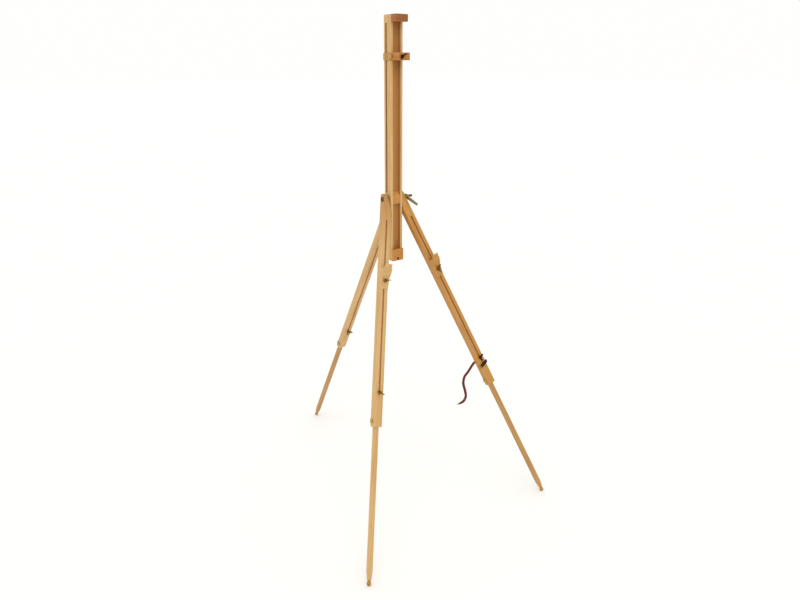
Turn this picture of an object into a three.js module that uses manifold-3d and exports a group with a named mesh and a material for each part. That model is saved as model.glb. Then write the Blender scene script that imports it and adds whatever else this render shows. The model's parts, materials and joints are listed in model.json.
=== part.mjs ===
// A tripod field easel in oiled beech, standing open for work. Millimetres, +Z up.
// The painter stands at -Y and looks towards +Y, with the painter's right hand at +X.
// The mast and its fittings are drawn in the mast frame, whose origin is the middle of the
// mast at the height of the head bolt. Each leg is drawn upright, as it hangs when the easel
// is folded, and is then turned on its pivots to where it stands.
import * as THREE from 'three';
import * as BufferGeometryUtils from 'three/addons/utils/BufferGeometryUtils.js';
import Module from 'manifold-3d';

const wasm = await Module();
wasm.setup();
const rad = THREE.MathUtils.degToRad;

// ---- Driving dimensions ----------------------------------------------------------------

const GAP = 0.3; // left between two pieces that bear on each other
const FINE = 24; // sides of a turned piece

const LEG_SWING = rad(20.55); // front legs, forward of the mast, about the head bolt
const LEG_SPLAY = rad(17.5); // front legs, sideways, about their hinge pins

const MAST = { width: 44, depth: 35.5, above: 544, below: 205.5, groove: 29, grooveDepth: 14 };
const SIDE_SLOT = { y: 7, width: 7, from: 18, to: 522 };
const TOP_BLOCK = { front: -43.5, height: 20.5 };
const END_BLOCK = { front: -25, height: 38.5 };
const HEAD_BLOCK = { low: -17, high: 21, bevel: 9 };
const CLIP = { z: 428, height: 21.5, front: -54, cheek: 4, cheekBack: 16, cheekFront: -24 };
const CLIP_SCREW = { x: -8, radius: 2.5, proud: 10 };

const BOLT = { y: 0, radius: 4, leftEnd: 44.3, rightEnd: 74 };
const SADDLE = { thick: 1.5, radius: 11, lugRadius: 4, lugThick: 7 };
const HINGE = { x: 30, drop: 31, pin: 1.6 }; // hinge pin, out from the mast's middle and below the bolt

const LEG = { width: 30, depth: 19, foldGap: 0.6, above: 13, below: 724, topRound: 6 };
const CHANNEL = { width: 14.8, web: 4.4, from: 60 };
const LEG_SLOT = { width: 5.6, from: 71, to: 626 };
const LEG_BACK_OF_BOLT = 3; // the leg's middle lies this far behind the head bolt
const BEVEL_X = 24.6; // plane of the sawn inner face at the top of a front leg
const SPOT_FACE = { x: 42.5, radius: 9.5 };

const ROD = { side: 14, top: 594, clamp: 618, taper: 1151, ferrule: 1176, neck: 10 };
const FOOT = { centre: 1188, radius: 6.7 };
const RETAINER = { at: 706, height: 14, thick: 1 };

const LEDGE = { top: 217.5, floor: 230, shoulder: 235, bolt: 269, bottom: 295, seat: -15.6 };
const LEDGE_OUT = { top: 27.5, shoulder: 21.5, lipThick: 8, lipWidth: 24 };

const REAR = { y: 31.8, drop: 59, above: 10, topRound: 9.4, from: 45, shorter: 43, staveShorter: 51 };
const REAR_BRACKET = { thick: 2, high: 22, low: 24, cheek: 8.5 };

const STRAP = { width: 9, thick: 2, at: 645, from: -9 };

// ---- Finishes ----------------------------------------------------------------------------

const FINISHES = {
  beech: { color: '#d3a269', roughness: 0.5, metalness: 0 },
  amberBeech: { color: '#bf823c', roughness: 0.48, metalness: 0 },
  brass: { color: '#a07a24', roughness: 0.35, metalness: 1 },
  darkBrass: { color: '#6f6126', roughness: 0.45, metalness: 1 },
  zinc: { color: '#a5a291', roughness: 0.4, metalness: 1 },
  leather: { color: '#5e2a1e', roughness: 0.6, metalness: 0 },
};

function finish(name) {
  return new THREE.MeshStandardMaterial(FINISHES[name]);
}

// ---- Solids ------------------------------------------------------------------------------

function signedVolume(position, index) {
  const a = new THREE.Vector3();
  const b = new THREE.Vector3();
  const c = new THREE.Vector3();
  let six = 0;
  for (let i = 0; i < index.length; i += 3) {
    a.fromBufferAttribute(position, index[i]);
    b.fromBufferAttribute(position, index[i + 1]);
    c.fromBufferAttribute(position, index[i + 2]);
    six += a.dot(b.cross(c));
  }
  return six / 6;
}

// A closed three.js geometry as a solid that can be cut and joined, faces pointing out.
function solid(geometry) {
  const bare = geometry.index ? geometry.toNonIndexed() : geometry.clone();
  bare.deleteAttribute('normal');
  bare.deleteAttribute('uv');
  const welded = BufferGeometryUtils.mergeVertices(bare, 1e-3);
  const all = welded.index.array;
  const kept = [];
  for (let i = 0; i < all.length; i += 3) {
    const [a, b, c] = [all[i], all[i + 1], all[i + 2]];
    if (a !== b && b !== c && c !== a) kept.push(a, b, c);
  }
  if (signedVolume(welded.attributes.position, kept) < 0) kept.reverse();
  return new wasm.Manifold(new wasm.Mesh({
    numProp: 3,
    vertProperties: new Float32Array(welded.attributes.position.array),
    triVerts: new Uint32Array(kept),
  }));
}

function geometryOf(shape) {
  const mesh = shape.getMesh();
  const geometry = new THREE.BufferGeometry();
  geometry.setAttribute('position', new THREE.BufferAttribute(mesh.vertProperties, 3));
  geometry.setIndex(new THREE.BufferAttribute(mesh.triVerts, 1));
  return geometry;
}

function cut(base, ...tools) {
  return tools.reduce((rest, tool) => rest.subtract(tool), base);
}

function join(base, ...others) {
  return others.reduce((whole, other) => whole.add(other), base);
}

function block(x0, x1, y0, y1, z0, z1) {
  const geometry = new THREE.BoxGeometry(x1 - x0, y1 - y0, z1 - z0);
  return solid(geometry.translate((x0 + x1) / 2, (y0 + y1) / 2, (z0 + z1) / 2));
}

// The turn that carries a drawing's own axes (u, v, w) to the part's, with w along the axis named.
function facing(axis) {
  const m = new THREE.Matrix4();
  if (axis === 'x') return m.set(0, 0, 1, 0, 1, 0, 0, 0, 0, 1, 0, 0, 0, 0, 0, 1);
  if (axis === 'y') return m.set(1, 0, 0, 0, 0, 0, 1, 0, 0, 1, 0, 0, 0, 0, 0, 1);
  return m;
}

// An outline pushed along an axis. Its points are (y, z) along x, (x, z) along y, (x, y) along z.
function push(outline, axis, from, to, curveSegments = 6) {
  const geometry = new THREE.ExtrudeGeometry(outline, {
    depth: to - from, bevelEnabled: false, curveSegments,
  });
  return solid(geometry.translate(0, 0, from).applyMatrix4(facing(axis)));
}

// A profile of [radius, height] points turned about an axis. It starts and ends on the axis.
function turn(profile, axis, centre = [0, 0, 0], sides = FINE) {
  const points = profile.map(([r, h]) => new THREE.Vector2(r, h));
  const geometry = new THREE.LatheGeometry(points, sides).rotateX(Math.PI / 2);
  return solid(geometry.applyMatrix4(facing(axis)).translate(...centre));
}

function peg(axis, radius, from, to, centre = [0, 0, 0], sides = FINE) {
  return turn([[0, from], [radius, from], [radius, to], [0, to]], axis, centre, sides);
}

function ring(axis, outer, inner, from, to, centre = [0, 0, 0]) {
  return cut(peg(axis, outer, from, to, centre), peg(axis, inner, from - 1, to + 1, centre));
}

// A slot through a wall along an axis, with round ends, as a cutting tool.
function slotTool(axis, across, width, low, high, from, to) {
  const r = width / 2;
  const outline = new THREE.Shape();
  outline.moveTo(across - r, low + r);
  outline.absarc(across, low + r, r, Math.PI, 2 * Math.PI, false);
  outline.absarc(across, high - r, r, 0, Math.PI, false);
  outline.closePath();
  return push(outline, axis, from, to);
}

// ---- Placing ------------------------------------------------------------------------------

function add(parent, name, shape, finishName) {
  const mesh = new THREE.Mesh(geometryOf(shape), finish(finishName));
  mesh.name = name;
  parent.add(mesh);
  return mesh;
}

function frame(parent, name, [x, y, z], [turnX, turnY] = [0, 0]) {
  const group = new THREE.Group();
  group.name = name;
  group.position.set(x, y, z);
  group.rotation.set(turnX, turnY, 0);
  if (parent) parent.add(group);
  return group;
}

const LEG_X = MAST.width / 2 + LEG.foldGap + LEG.width / 2;
const ROD_Y = -LEG.depth / 2 + CHANNEL.web + GAP + ROD.side / 2;

// The three nested frames of a front leg; side is -1 on the left and +1 on the right.
function frontLegFrames(mast, side) {
  const saddle = frame(mast, '', [0, BOLT.y, 0], [-LEG_SWING, 0]);
  const hinge = frame(saddle, '', [side * HINGE.x, 0, -HINGE.drop], [0, -side * LEG_SPLAY]);
  const leg = frame(hinge, '', [side * (LEG_X - HINGE.x), LEG_BACK_OF_BOLT, HINGE.drop]);
  return { saddle, hinge, leg };
}

// How high the head bolt stands when the front feet are on the ground.
function headHeight() {
  const mast = frame(null, '', [0, 0, 0]);
  const { leg } = frontLegFrames(mast, -1);
  mast.updateMatrixWorld(true);
  const foot = new THREE.Vector3(0, ROD_Y, -FOOT.centre).applyMatrix4(leg.matrixWorld);
  return { height: FOOT.radius - foot.z, frontFootY: foot.y };
}

// The back leg's lean, with its foot on the ground, and how far back that foot stands.
function rearLean(height) {
  const drop = height - REAR.drop - FOOT.radius;
  const length = FOOT.centre - REAR.shorter;
  const lean = Math.acos(drop / Math.hypot(length, ROD_Y)) - Math.atan2(ROD_Y, length);
  const footY = REAR.y + length * Math.sin(lean) + ROD_Y * Math.cos(lean);
  return { lean, footY };
}

// ---- Fixings ------------------------------------------------------------------------------

// A round-headed bolt: its head at `from`, its shank to `to`, along an axis.
function bolt(axis, headRadius, headHeight, shankRadius, from, to, centre) {
  const way = Math.sign(to - from);
  const dome = [];
  for (let i = 0; i <= 4; i += 1) {
    const a = (i / 4) * (Math.PI / 2);
    dome.push([headRadius * Math.sin(a), from - way * headHeight * Math.cos(a)]);
  }
  dome[0][0] = 0;
  return turn([...dome, [shankRadius, from], [shankRadius, to], [0, to]], axis, centre);
}

// A wing nut on the y axis, its seat at y and its wings standing forward and along `roll`.
function wingNut(y, bore, hubRadius, span, reach, roll) {
  const hub = turn([
    [0, 0], [hubRadius, 0], [hubRadius * 0.8, reach * 0.5], [0, reach * 0.5],
  ], 'z');
  const wing = new THREE.Shape();
  wing.moveTo(0, reach * 0.06);
  wing.lineTo(hubRadius, reach * 0.06);
  wing.quadraticCurveTo(span * 0.42, reach * 0.3, span / 2, reach * 0.72);
  wing.quadraticCurveTo(span * 0.53, reach, span * 0.42, reach);
  wing.quadraticCurveTo(span * 0.26, reach * 0.92, hubRadius * 0.7, reach * 0.46);
  wing.lineTo(0, reach * 0.46);
  wing.closePath();
  const half = span * 0.045;
  const one = push(wing, 'y', -half, half, 5);
  const hole = peg('z', bore, -1, reach);
  const nut = cut(join(hub, one, one.rotate([0, 0, 180])), hole);
  return nut.rotate([0, 0, roll]).rotate([90, 0, 0]).translate([0, y, 0]);
}

// ---- Mast ---------------------------------------------------------------------------------

const FRONT = -MAST.depth / 2;
const GROOVE_FLOOR = FRONT + MAST.grooveDepth;

function mastPost() {
  const w = MAST.width / 2;
  const g = MAST.groove / 2;
  const post = block(-w, w, FRONT, -FRONT, -MAST.below, MAST.above);
  const groove = block(-g, g, FRONT - 1, GROOVE_FLOOR, -MAST.below - 1, MAST.above + 1);
  const slot = slotTool('x', SIDE_SLOT.y, SIDE_SLOT.width, SIDE_SLOT.from, SIDE_SLOT.to, -w - 1, w + 1);
  const boltHole = peg('x', BOLT.radius + GAP, -w - 1, w + 1, [0, BOLT.y, 0]);
  const screws = REAR_SCREWS.map((z) => peg('y', SCREW.radius + 0.15, 8, 20, [0, 0, z]));
  const endScrew = peg('y', END_SCREW.radius + 0.15, GROOVE_FLOOR - 1, 12, [0, 0, endScrewHeight()]);
  return cut(post, groove, slot, boltHole, endScrew, ...screws);
}

// A block that fills the mast's groove and stands out in front of it.
function grooveBlock(front, low, high, endTrim) {
  const g = MAST.groove / 2 - GAP;
  const w = MAST.width / 2;
  const tongue = block(-g, g, FRONT - GAP - 1, GROOVE_FLOOR - GAP, low, high);
  const face = block(-w + endTrim, w - endTrim, front, FRONT - GAP, low, high);
  return join(tongue, face);
}

function topBlock() {
  return grooveBlock(TOP_BLOCK.front, MAST.above - TOP_BLOCK.height, MAST.above, 0);
}

const END_SCREW = { radius: 2, head: 4, length: 22, above: 7 };

function endScrewHeight() {
  return -MAST.below + END_SCREW.above;
}

function endBlock() {
  const body = grooveBlock(END_BLOCK.front, -MAST.below, -MAST.below + END_BLOCK.height, 0);
  const z = endScrewHeight();
  const hole = peg('y', END_SCREW.radius + 0.15, END_BLOCK.front - 1, 0, [0, 0, z]);
  const sink = peg('y', END_SCREW.head + GAP, END_BLOCK.front - 1, END_BLOCK.front + 2.6, [0, 0, z]);
  return cut(body, hole, sink);
}

function endBlockScrew() {
  const from = END_BLOCK.front + 2.6 - GAP;
  const { radius, head, length } = END_SCREW;
  const shape = bolt('y', head, 1.8, radius, from, from + length, [0, 0, endScrewHeight()]);
  return cut(shape, block(-0.5, 0.5, from - 3, from - 1, endScrewHeight() - 5, endScrewHeight() + 5));
}

// The filler that keeps the head bolt from crushing the rails of the groove.
function headBlock() {
  const g = MAST.groove / 2 - GAP;
  const outline = new THREE.Shape();
  outline.moveTo(GROOVE_FLOOR - GAP, HEAD_BLOCK.low);
  outline.lineTo(GROOVE_FLOOR - GAP, HEAD_BLOCK.high);
  outline.lineTo(FRONT + 1 + HEAD_BLOCK.bevel, HEAD_BLOCK.high);
  outline.lineTo(FRONT + 1, HEAD_BLOCK.high - HEAD_BLOCK.bevel * 1.4);
  outline.lineTo(FRONT + 1, HEAD_BLOCK.low);
  outline.closePath();
  const filler = push(outline, 'x', -g, g);
  return cut(filler, peg('x', BOLT.radius + GAP, -g - 1, g + 1, [0, BOLT.y, 0]));
}

// ---- Sliding clip ---------------------------------------------------------------------------

function clipJaw() {
  const half = CLIP.height / 2;
  const jaw = grooveBlock(CLIP.front, CLIP.z - half, CLIP.z + half, 0);
  const { x, radius } = CLIP_SCREW;
  return cut(jaw, peg('y', radius + 0.2, CLIP.front - 1, 5, [x, 0, CLIP.z]));
}

function clipCheek(side) {
  const half = CLIP.height / 2 - 0.5;
  const inner = MAST.width / 2 + GAP;
  const outline = new THREE.Shape();
  outline.moveTo(CLIP.cheekFront, CLIP.z - half + 4);
  outline.lineTo(CLIP.cheekFront, CLIP.z + half - 4);
  outline.lineTo(FRONT - 1, CLIP.z + half - 4);
  outline.lineTo(FRONT + 3, CLIP.z + half);
  outline.lineTo(CLIP.cheekBack - 5, CLIP.z + half);
  outline.quadraticCurveTo(CLIP.cheekBack, CLIP.z + half, CLIP.cheekBack, CLIP.z + half - 5);
  outline.lineTo(CLIP.cheekBack, CLIP.z - half + 5);
  outline.quadraticCurveTo(CLIP.cheekBack, CLIP.z - half, CLIP.cheekBack - 5, CLIP.z - half);
  outline.lineTo(FRONT + 3, CLIP.z - half);
  outline.lineTo(FRONT - 1, CLIP.z - half + 4);
  outline.closePath();
  const [from, to] = side < 0 ? [-inner - CLIP.cheek, -inner] : [inner, inner + CLIP.cheek];
  const plate = push(outline, 'x', from, to, 4);
  return cut(plate, peg('x', 3 + GAP, from - 1, to + 1, [0, SIDE_SLOT.y, CLIP.z]));
}

const CHEEK_OUT = MAST.width / 2 + 2 * GAP + CLIP.cheek;

function clipCrossBolt() {
  return bolt('x', 4.4, 1.5, 3, -CHEEK_OUT, CHEEK_OUT + 7, [0, SIDE_SLOT.y, CLIP.z]);
}

function clipCrossNut() {
  return ring('x', 5.5, 3 + GAP, CHEEK_OUT, CHEEK_OUT + 4.5, [0, SIDE_SLOT.y, CLIP.z]);
}

// A thumb screw through the jaw that presses on the floor of the groove.
function clipThumbScrew() {
  const { radius, proud } = CLIP_SCREW;
  const tip = GROOVE_FLOOR - GAP;
  const seat = CLIP.front - GAP;
  const head = wingNut(seat, 0.6, 5, 26, 13, 38);
  const shank = peg('y', radius, seat - proud / 2, tip);
  return join(head, shank).translate([CLIP_SCREW.x, 0, CLIP.z]);
}

// ---- Head bolt ------------------------------------------------------------------------------

function headBolt() {
  const from = -(BOLT.leftEnd + GAP);
  return bolt('x', 7.5, 4.6, BOLT.radius, from, BOLT.rightEnd, [0, BOLT.y, 0]);
}

function headWasher(side) {
  const inner = SPOT_FACE.x + GAP;
  const outer = BOLT.leftEnd;
  const [from, to] = side < 0 ? [-outer, -inner] : [inner, outer];
  return ring('x', 8.5, BOLT.radius + GAP, from, to, [0, BOLT.y, 0]);
}

// The clamping nut: a round hub and one long arm, cranked outwards to pass the leg.
const CLAMP = { hub: 8, hubLength: 11, arm: 49, angle: 30, thick: 3.4, crank: 0.34 };

function clampLever() {
  const from = BOLT.leftEnd + GAP;
  const hub = turn([
    [0, from], [CLAMP.hub, from], [CLAMP.hub, from + CLAMP.hubLength * 0.7],
    [CLAMP.hub * 0.78, from + CLAMP.hubLength], [0, from + CLAMP.hubLength],
  ], 'x');
  const arm = new THREE.Shape();
  const start = from + CLAMP.hubLength * 0.32;
  arm.moveTo(0, start);
  arm.lineTo(CLAMP.arm * 0.3, start + CLAMP.arm * 0.3 * CLAMP.crank);
  arm.lineTo(CLAMP.arm, start + CLAMP.arm * CLAMP.crank);
  arm.lineTo(CLAMP.arm, start + CLAMP.arm * CLAMP.crank + CLAMP.thick);
  arm.lineTo(CLAMP.arm * 0.3, start + CLAMP.arm * 0.3 * CLAMP.crank + CLAMP.thick);
  arm.lineTo(0, start + CLAMP.thick);
  arm.closePath();
  const plan = new THREE.Shape();
  plan.moveTo(0, -6.5);
  plan.lineTo(CLAMP.arm - 5, -4.2);
  plan.absarc(CLAMP.arm - 4.2, 0, 4.2, -Math.PI / 2, Math.PI / 2, false);
  plan.lineTo(0, 6.5);
  plan.closePath();
  // Drawn along -y: the side view gives the crank and the plan view the round end.
  const side = push(arm, 'z', -10, 10).rotate([0, 0, -90]);
  const top = push(plan, 'x', 0, 200, 8).rotate([180, 0, 0]);
  const bar = side.intersect(top).rotate([CLAMP.angle, 0, 0]);
  return cut(join(hub, bar), peg('x', BOLT.radius + GAP, 0, 100)).translate([0, BOLT.y, 0]);
}

// ---- Saddles and hinge pins --------------------------------------------------------------------

// A steel plate on the head bolt, between the mast and a leg, with a lug for the hinge pin.
function saddlePlate(side) {
  const inner = MAST.width / 2 + GAP;
  const outline = new THREE.Shape();
  outline.absarc(0, 0, SADDLE.radius, 0, Math.PI, false);
  outline.lineTo(-SADDLE.lugThick / 2, -HINGE.drop - 1.5);
  outline.lineTo(SADDLE.lugThick / 2, -HINGE.drop - 1.5);
  outline.closePath();
  const plate = push(outline, 'x', inner, inner + SADDLE.thick, 10);
  const half = SADDLE.lugThick / 2;
  const lug = join(
    peg('y', SADDLE.lugRadius, -half, half, [HINGE.x, 0, -HINGE.drop]),
    block(inner + 0.2, HINGE.x, -half, half, -HINGE.drop - 1.5, -HINGE.drop + SADDLE.lugRadius),
  );
  const whole = cut(
    join(plate, lug),
    peg('x', BOLT.radius + GAP, 0, 40),
    peg('y', HINGE.pin + GAP, -20, 20, [HINGE.x, 0, -HINGE.drop]),
  );
  return side < 0 ? whole.mirror([1, 0, 0]) : whole;
}

// The hinge pin, in the leg's frame: it runs front to back through leg and lug.
function hingePin(side) {
  const x = side * (HINGE.x - LEG_X);
  const face = LEG.depth / 2;
  return bolt('y', 3, 1, HINGE.pin, -face - GAP, face - 1, [x, 0, -HINGE.drop]);
}

// ---- Legs -----------------------------------------------------------------------------------

// An outer leg: a grooved stave, open at the back, with a long slot through its front web.
function stave(above, below, from, slot, r) {
  const w = LEG.width / 2;
  const d = LEG.depth / 2;
  const side = new THREE.Shape();
  side.moveTo(-d, -below);
  side.lineTo(-d, above - r);
  side.absarc(-d + r, above - r, r, Math.PI, Math.PI / 2, true);
  side.absarc(d - r, above - r, r, Math.PI / 2, 0, true);
  side.lineTo(d, -below);
  side.closePath();
  const c = CHANNEL.width / 2;
  return cut(
    push(side, 'x', -w, w, 5),
    block(-c, c, -d + CHANNEL.web, d + 1, -below - 1, -from),
    slotTool('y', 0, LEG_SLOT.width, -slot.to, -slot.from, -d - 1, -d + CHANNEL.web + 1),
  );
}

// What the top of a front leg must clear, in the leg's frame, as it closes from the splay.
function headCutters(side) {
  const tools = [];
  const steps = 6;
  for (let i = 0; i <= steps; i += 1) {
    const angle = LEG_SPLAY * (i / steps);
    const toLeg = new THREE.Matrix4()
      .makeTranslation(side * (LEG_X - HINGE.x), LEG_BACK_OF_BOLT, HINGE.drop)
      .premultiply(new THREE.Matrix4().makeRotationY(-side * angle))
      .premultiply(new THREE.Matrix4().makeTranslation(side * HINGE.x, 0, -HINGE.drop))
      .invert();
    const boltTool = peg('x', BOLT.radius + 0.7, -90, 90);
    tools.push(boltTool.transform(toLeg.elements));
    if (i === steps) {
      const reach = side < 0 ? [-BEVEL_X, 60] : [-60, BEVEL_X];
      tools.push(block(...reach, -30, 30, -80, 40).transform(toLeg.elements));
      const sink = side < 0 ? [-90, -SPOT_FACE.x] : [SPOT_FACE.x, 90];
      tools.push(peg('x', SPOT_FACE.radius, ...sink).transform(toLeg.elements));
    }
  }
  return tools;
}

function frontStave(side) {
  const pinX = side * (HINGE.x - LEG_X);
  const half = SADDLE.lugThick / 2 + 0.4;
  const notchEnd = side * (HINGE.x - LEG_X + 5.2);
  const notch = side < 0 ? [notchEnd, 20] : [-20, notchEnd];
  return cut(
    stave(LEG.above, LEG.below, CHANNEL.from, LEG_SLOT, LEG.topRound),
    ...headCutters(side),
    block(...notch, -LEG_BACK_OF_BOLT - half, -LEG_BACK_OF_BOLT + half, -HINGE.drop - 6.5, -HINGE.drop + 9),
    peg('y', HINGE.pin + 0.15, -20, LEG.depth / 2 - 1 + GAP, [pinX, 0, -HINGE.drop]),
    retainerScrewHole(RETAINER.at),
    ...(side > 0 ? [peg('x', STRAP_SCREW.radius + 0.15, 8, 20, [0, 0, STRAP_SCREW.z])] : []),
  );
}

function rearStave() {
  const slot = { from: 60, to: LEG_SLOT.to - REAR.shorter };
  return cut(
    stave(REAR.above, LEG.below - REAR.staveShorter, REAR.from, slot, REAR.topRound),
    peg('x', 3 + GAP, -20, 20),
    retainerScrewHole(RETAINER.at - REAR.staveShorter),
  );
}

// A brass hook that keeps the rod in its groove: back strap, one ear screwed to the left side.
function retainer(at) {
  const w = LEG.width / 2 + GAP;
  const d = LEG.depth / 2 + GAP;
  const t = RETAINER.thick;
  const low = -at - RETAINER.height / 2;
  const high = -at + RETAINER.height / 2;
  return cut(
    join(
      block(-w - t, w + t, d, d + t, low, high),
      block(-w - t, -w, -5.5, d + t, low, high),
      block(w, w + t, d - 6, d + t, low, high),
    ),
    peg('x', RETAINER_SCREW.radius + 0.15, -w - 2, 0, [0, 0, -at]),
  );
}

const RETAINER_SCREW = { radius: 1.6, head: 4.4, length: 5.5 };

function retainerScrewHole(at) {
  const w = LEG.width / 2;
  return peg('x', RETAINER_SCREW.radius + 0.15, -w - 1, -w + RETAINER_SCREW.length, [0, 0, -at]);
}

function retainerScrew(at) {
  const seat = -(LEG.width / 2 + GAP + RETAINER.thick + GAP);
  const { radius, head, length } = RETAINER_SCREW;
  const shape = bolt('x', head, 2.2, radius, seat, seat + length, [0, 0, -at]);
  return cut(shape, block(seat - 3, seat - 1.4, -5, 5, -at - 0.5, -at + 0.5));
}

// An inner leg: a square rod that tapers to its ferrule. Its front bears on the stave's web.
function rod(raise) {
  const h = ROD.side / 2;
  const long = block(-h, h, ROD_Y - h, ROD_Y + h, -ROD.taper + raise, -ROD.top + raise);
  const taper = new THREE.CylinderGeometry(
    h * Math.SQRT2, (ROD.neck / 2) * Math.SQRT2, ROD.ferrule - ROD.taper, 4, 1,
  ).rotateY(Math.PI / 4).rotateX(Math.PI / 2);
  taper.translate(0, ROD_Y, -(ROD.taper + ROD.ferrule) / 2 + raise);
  const at = -ROD.clamp + raise;
  return cut(
    join(long, solid(taper)),
    peg('y', 2.5 + GAP, -20, 20, [0, 0, at]),
    peg('y', 5.5, ROD_Y + h - 3.5, 20, [0, 0, at]),
    peg('z', 3 + 0.15, -ROD.ferrule - 1 + raise, -ROD.ferrule + 14 + raise, [0, ROD_Y, 0]),
  );
}

// A turned brass foot: a ball below a collar, with a spigot up into the rod.
function ferrule(raise) {
  const centre = -FOOT.centre + raise;
  const seat = -ROD.ferrule - GAP + raise;
  const ball = [];
  const neck = 4.6;
  const up = Math.PI - Math.asin(neck / FOOT.radius);
  for (let i = 0; i <= 8; i += 1) {
    const a = (i / 8) * up;
    ball.push([FOOT.radius * Math.sin(a), centre - FOOT.radius * Math.cos(a)]);
  }
  ball[0][0] = 0;
  const collar = [[5.2, seat - 3.2], [5.2, seat], [3, seat], [3, seat + 13], [0, seat + 13]];
  return turn([...ball, ...collar], 'z', [0, ROD_Y, 0]);
}

function rodBolt(raise) {
  const from = ROD_Y + ROD.side / 2 - 3.2;
  return bolt('y', 5.2, 2.6, 2.5, from, -LEG.depth / 2 - 14, [0, 0, -ROD.clamp + raise]);
}

function rodWasher(raise) {
  const seat = -LEG.depth / 2 - GAP;
  return ring('y', 6, 2.5 + GAP, seat - 1.2, seat, [0, 0, -ROD.clamp + raise]);
}

const ROD_NUT_SEAT = -LEG.depth / 2 - 1.2 - 2 * GAP;

function rodNut(raise, roll) {
  return wingNut(ROD_NUT_SEAT, 2.5 + GAP, 5, 24, 15, roll).translate([0, 0, -ROD.clamp + raise]);
}

// ---- Ledges -----------------------------------------------------------------------------------

// The block that carries the canvas: a flat floor behind a narrower lip, and a front that is
// upright when the leg stands open and sweeps in below it.
function ledgeBlock() {
  const face = -LEG.depth / 2;
  const back = face - GAP;
  const top = face - LEDGE_OUT.top;
  const shoulder = face - LEDGE_OUT.shoulder;
  const lean = (LEDGE_OUT.top - LEDGE_OUT.shoulder) / (LEDGE.shoulder - LEDGE.top);
  const floorOut = shoulder - lean * (LEDGE.shoulder - LEDGE.floor);
  const profile = new THREE.Shape();
  profile.moveTo(back, -LEDGE.bottom);
  profile.lineTo(back, -LEDGE.floor);
  profile.lineTo(floorOut, -LEDGE.floor);
  profile.lineTo(shoulder, -LEDGE.shoulder);
  profile.quadraticCurveTo(shoulder + 2, -LEDGE.shoulder - 9, LEDGE.seat - 3, -LEDGE.bolt + 9);
  profile.quadraticCurveTo(back - 4, -LEDGE.bolt - 8, back - 1, -LEDGE.bottom);
  profile.closePath();
  const lip = new THREE.Shape();
  lip.moveTo(floorOut + LEDGE_OUT.lipThick, -LEDGE.floor - 1);
  lip.lineTo(floorOut + LEDGE_OUT.lipThick, -LEDGE.floor);
  lip.lineTo(top + LEDGE_OUT.lipThick - 1.5, -LEDGE.top);
  lip.lineTo(top + 3, -LEDGE.top);
  lip.quadraticCurveTo(top, -LEDGE.top, top + lean * 3, -LEDGE.top - 3);
  lip.lineTo(floorOut, -LEDGE.floor);
  lip.lineTo(floorOut + 1, -LEDGE.floor - 1);
  lip.closePath();
  const w = LEG.width / 2;
  return cut(
    join(
      push(profile, 'x', -w, w, 6),
      push(lip, 'x', -LEDGE_OUT.lipWidth / 2, LEDGE_OUT.lipWidth / 2, 4),
    ),
    peg('y', 2.5 + GAP, -60, 0, [0, 0, -LEDGE.bolt]),
    peg('y', 7.6, -60, LEDGE.seat, [0, 0, -LEDGE.bolt]),
  );
}

function ledgeBolt() {
  const from = -LEG.depth / 2 + CHANNEL.web + GAP;
  return bolt('y', 6, 2.6, 2.5, from, LEDGE.seat - 15, [0, 0, -LEDGE.bolt]);
}

function ledgeWasher() {
  const seat = LEDGE.seat - GAP;
  return ring('y', 6.5, 2.5 + GAP, seat - 1.2, seat, [0, 0, -LEDGE.bolt]);
}

function ledgeNut(roll) {
  const seat = LEDGE.seat - 1.2 - 2 * GAP;
  return wingNut(seat, 2.5 + GAP, 5, 26, 16, roll).translate([0, 0, -LEDGE.bolt]);
}

// ---- Back leg bracket -----------------------------------------------------------------------

const SCREW = { radius: 2, head: 3.6 };
const REAR_SCREWS = [-REAR.drop + 16, -REAR.drop - 18];
const BRACKET_BACK = -FRONT + GAP + REAR_BRACKET.thick;

// A U of brass on the back of the mast; the back leg hangs between its cheeks.
function rearBracket() {
  const { thick, high, low, cheek } = REAR_BRACKET;
  const inner = LEG.width / 2 + GAP + 0.2;
  const seat = -FRONT + GAP;
  const ear = new THREE.Shape();
  ear.moveTo(seat, -REAR.drop - cheek);
  ear.lineTo(REAR.y, -REAR.drop - cheek);
  ear.absarc(REAR.y, -REAR.drop, cheek, -Math.PI / 2, Math.PI / 2, false);
  ear.lineTo(seat, -REAR.drop + cheek);
  ear.closePath();
  return cut(
    join(
      block(-inner - thick, inner + thick, seat, seat + thick, -REAR.drop - low, -REAR.drop + high),
      push(ear, 'x', -inner - thick, -inner, 8),
      push(ear, 'x', inner, inner + thick, 8),
    ),
    peg('x', 3 + 0.1, -30, 30, [0, REAR.y, -REAR.drop]),
    ...REAR_SCREWS.map((z) => peg('y', SCREW.radius + 0.15, 0, 30, [0, 0, z])),
  );
}

function rearScrew(z) {
  const from = BRACKET_BACK + GAP;
  const shape = bolt('y', SCREW.head, 1.6, SCREW.radius, from, from - 11, [0, 0, z]);
  return cut(shape, block(-0.5, 0.5, from + 0.9, from + 3, z - 5, z + 5));
}

const REAR_CHEEK_OUT = LEG.width / 2 + 2 * GAP + 0.2 + REAR_BRACKET.thick;

function rearPivotBolt() {
  const centre = [0, REAR.y, -REAR.drop];
  return bolt('x', 5.5, 2.6, 3, -REAR_CHEEK_OUT, REAR_CHEEK_OUT + 7.5, centre);
}

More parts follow.
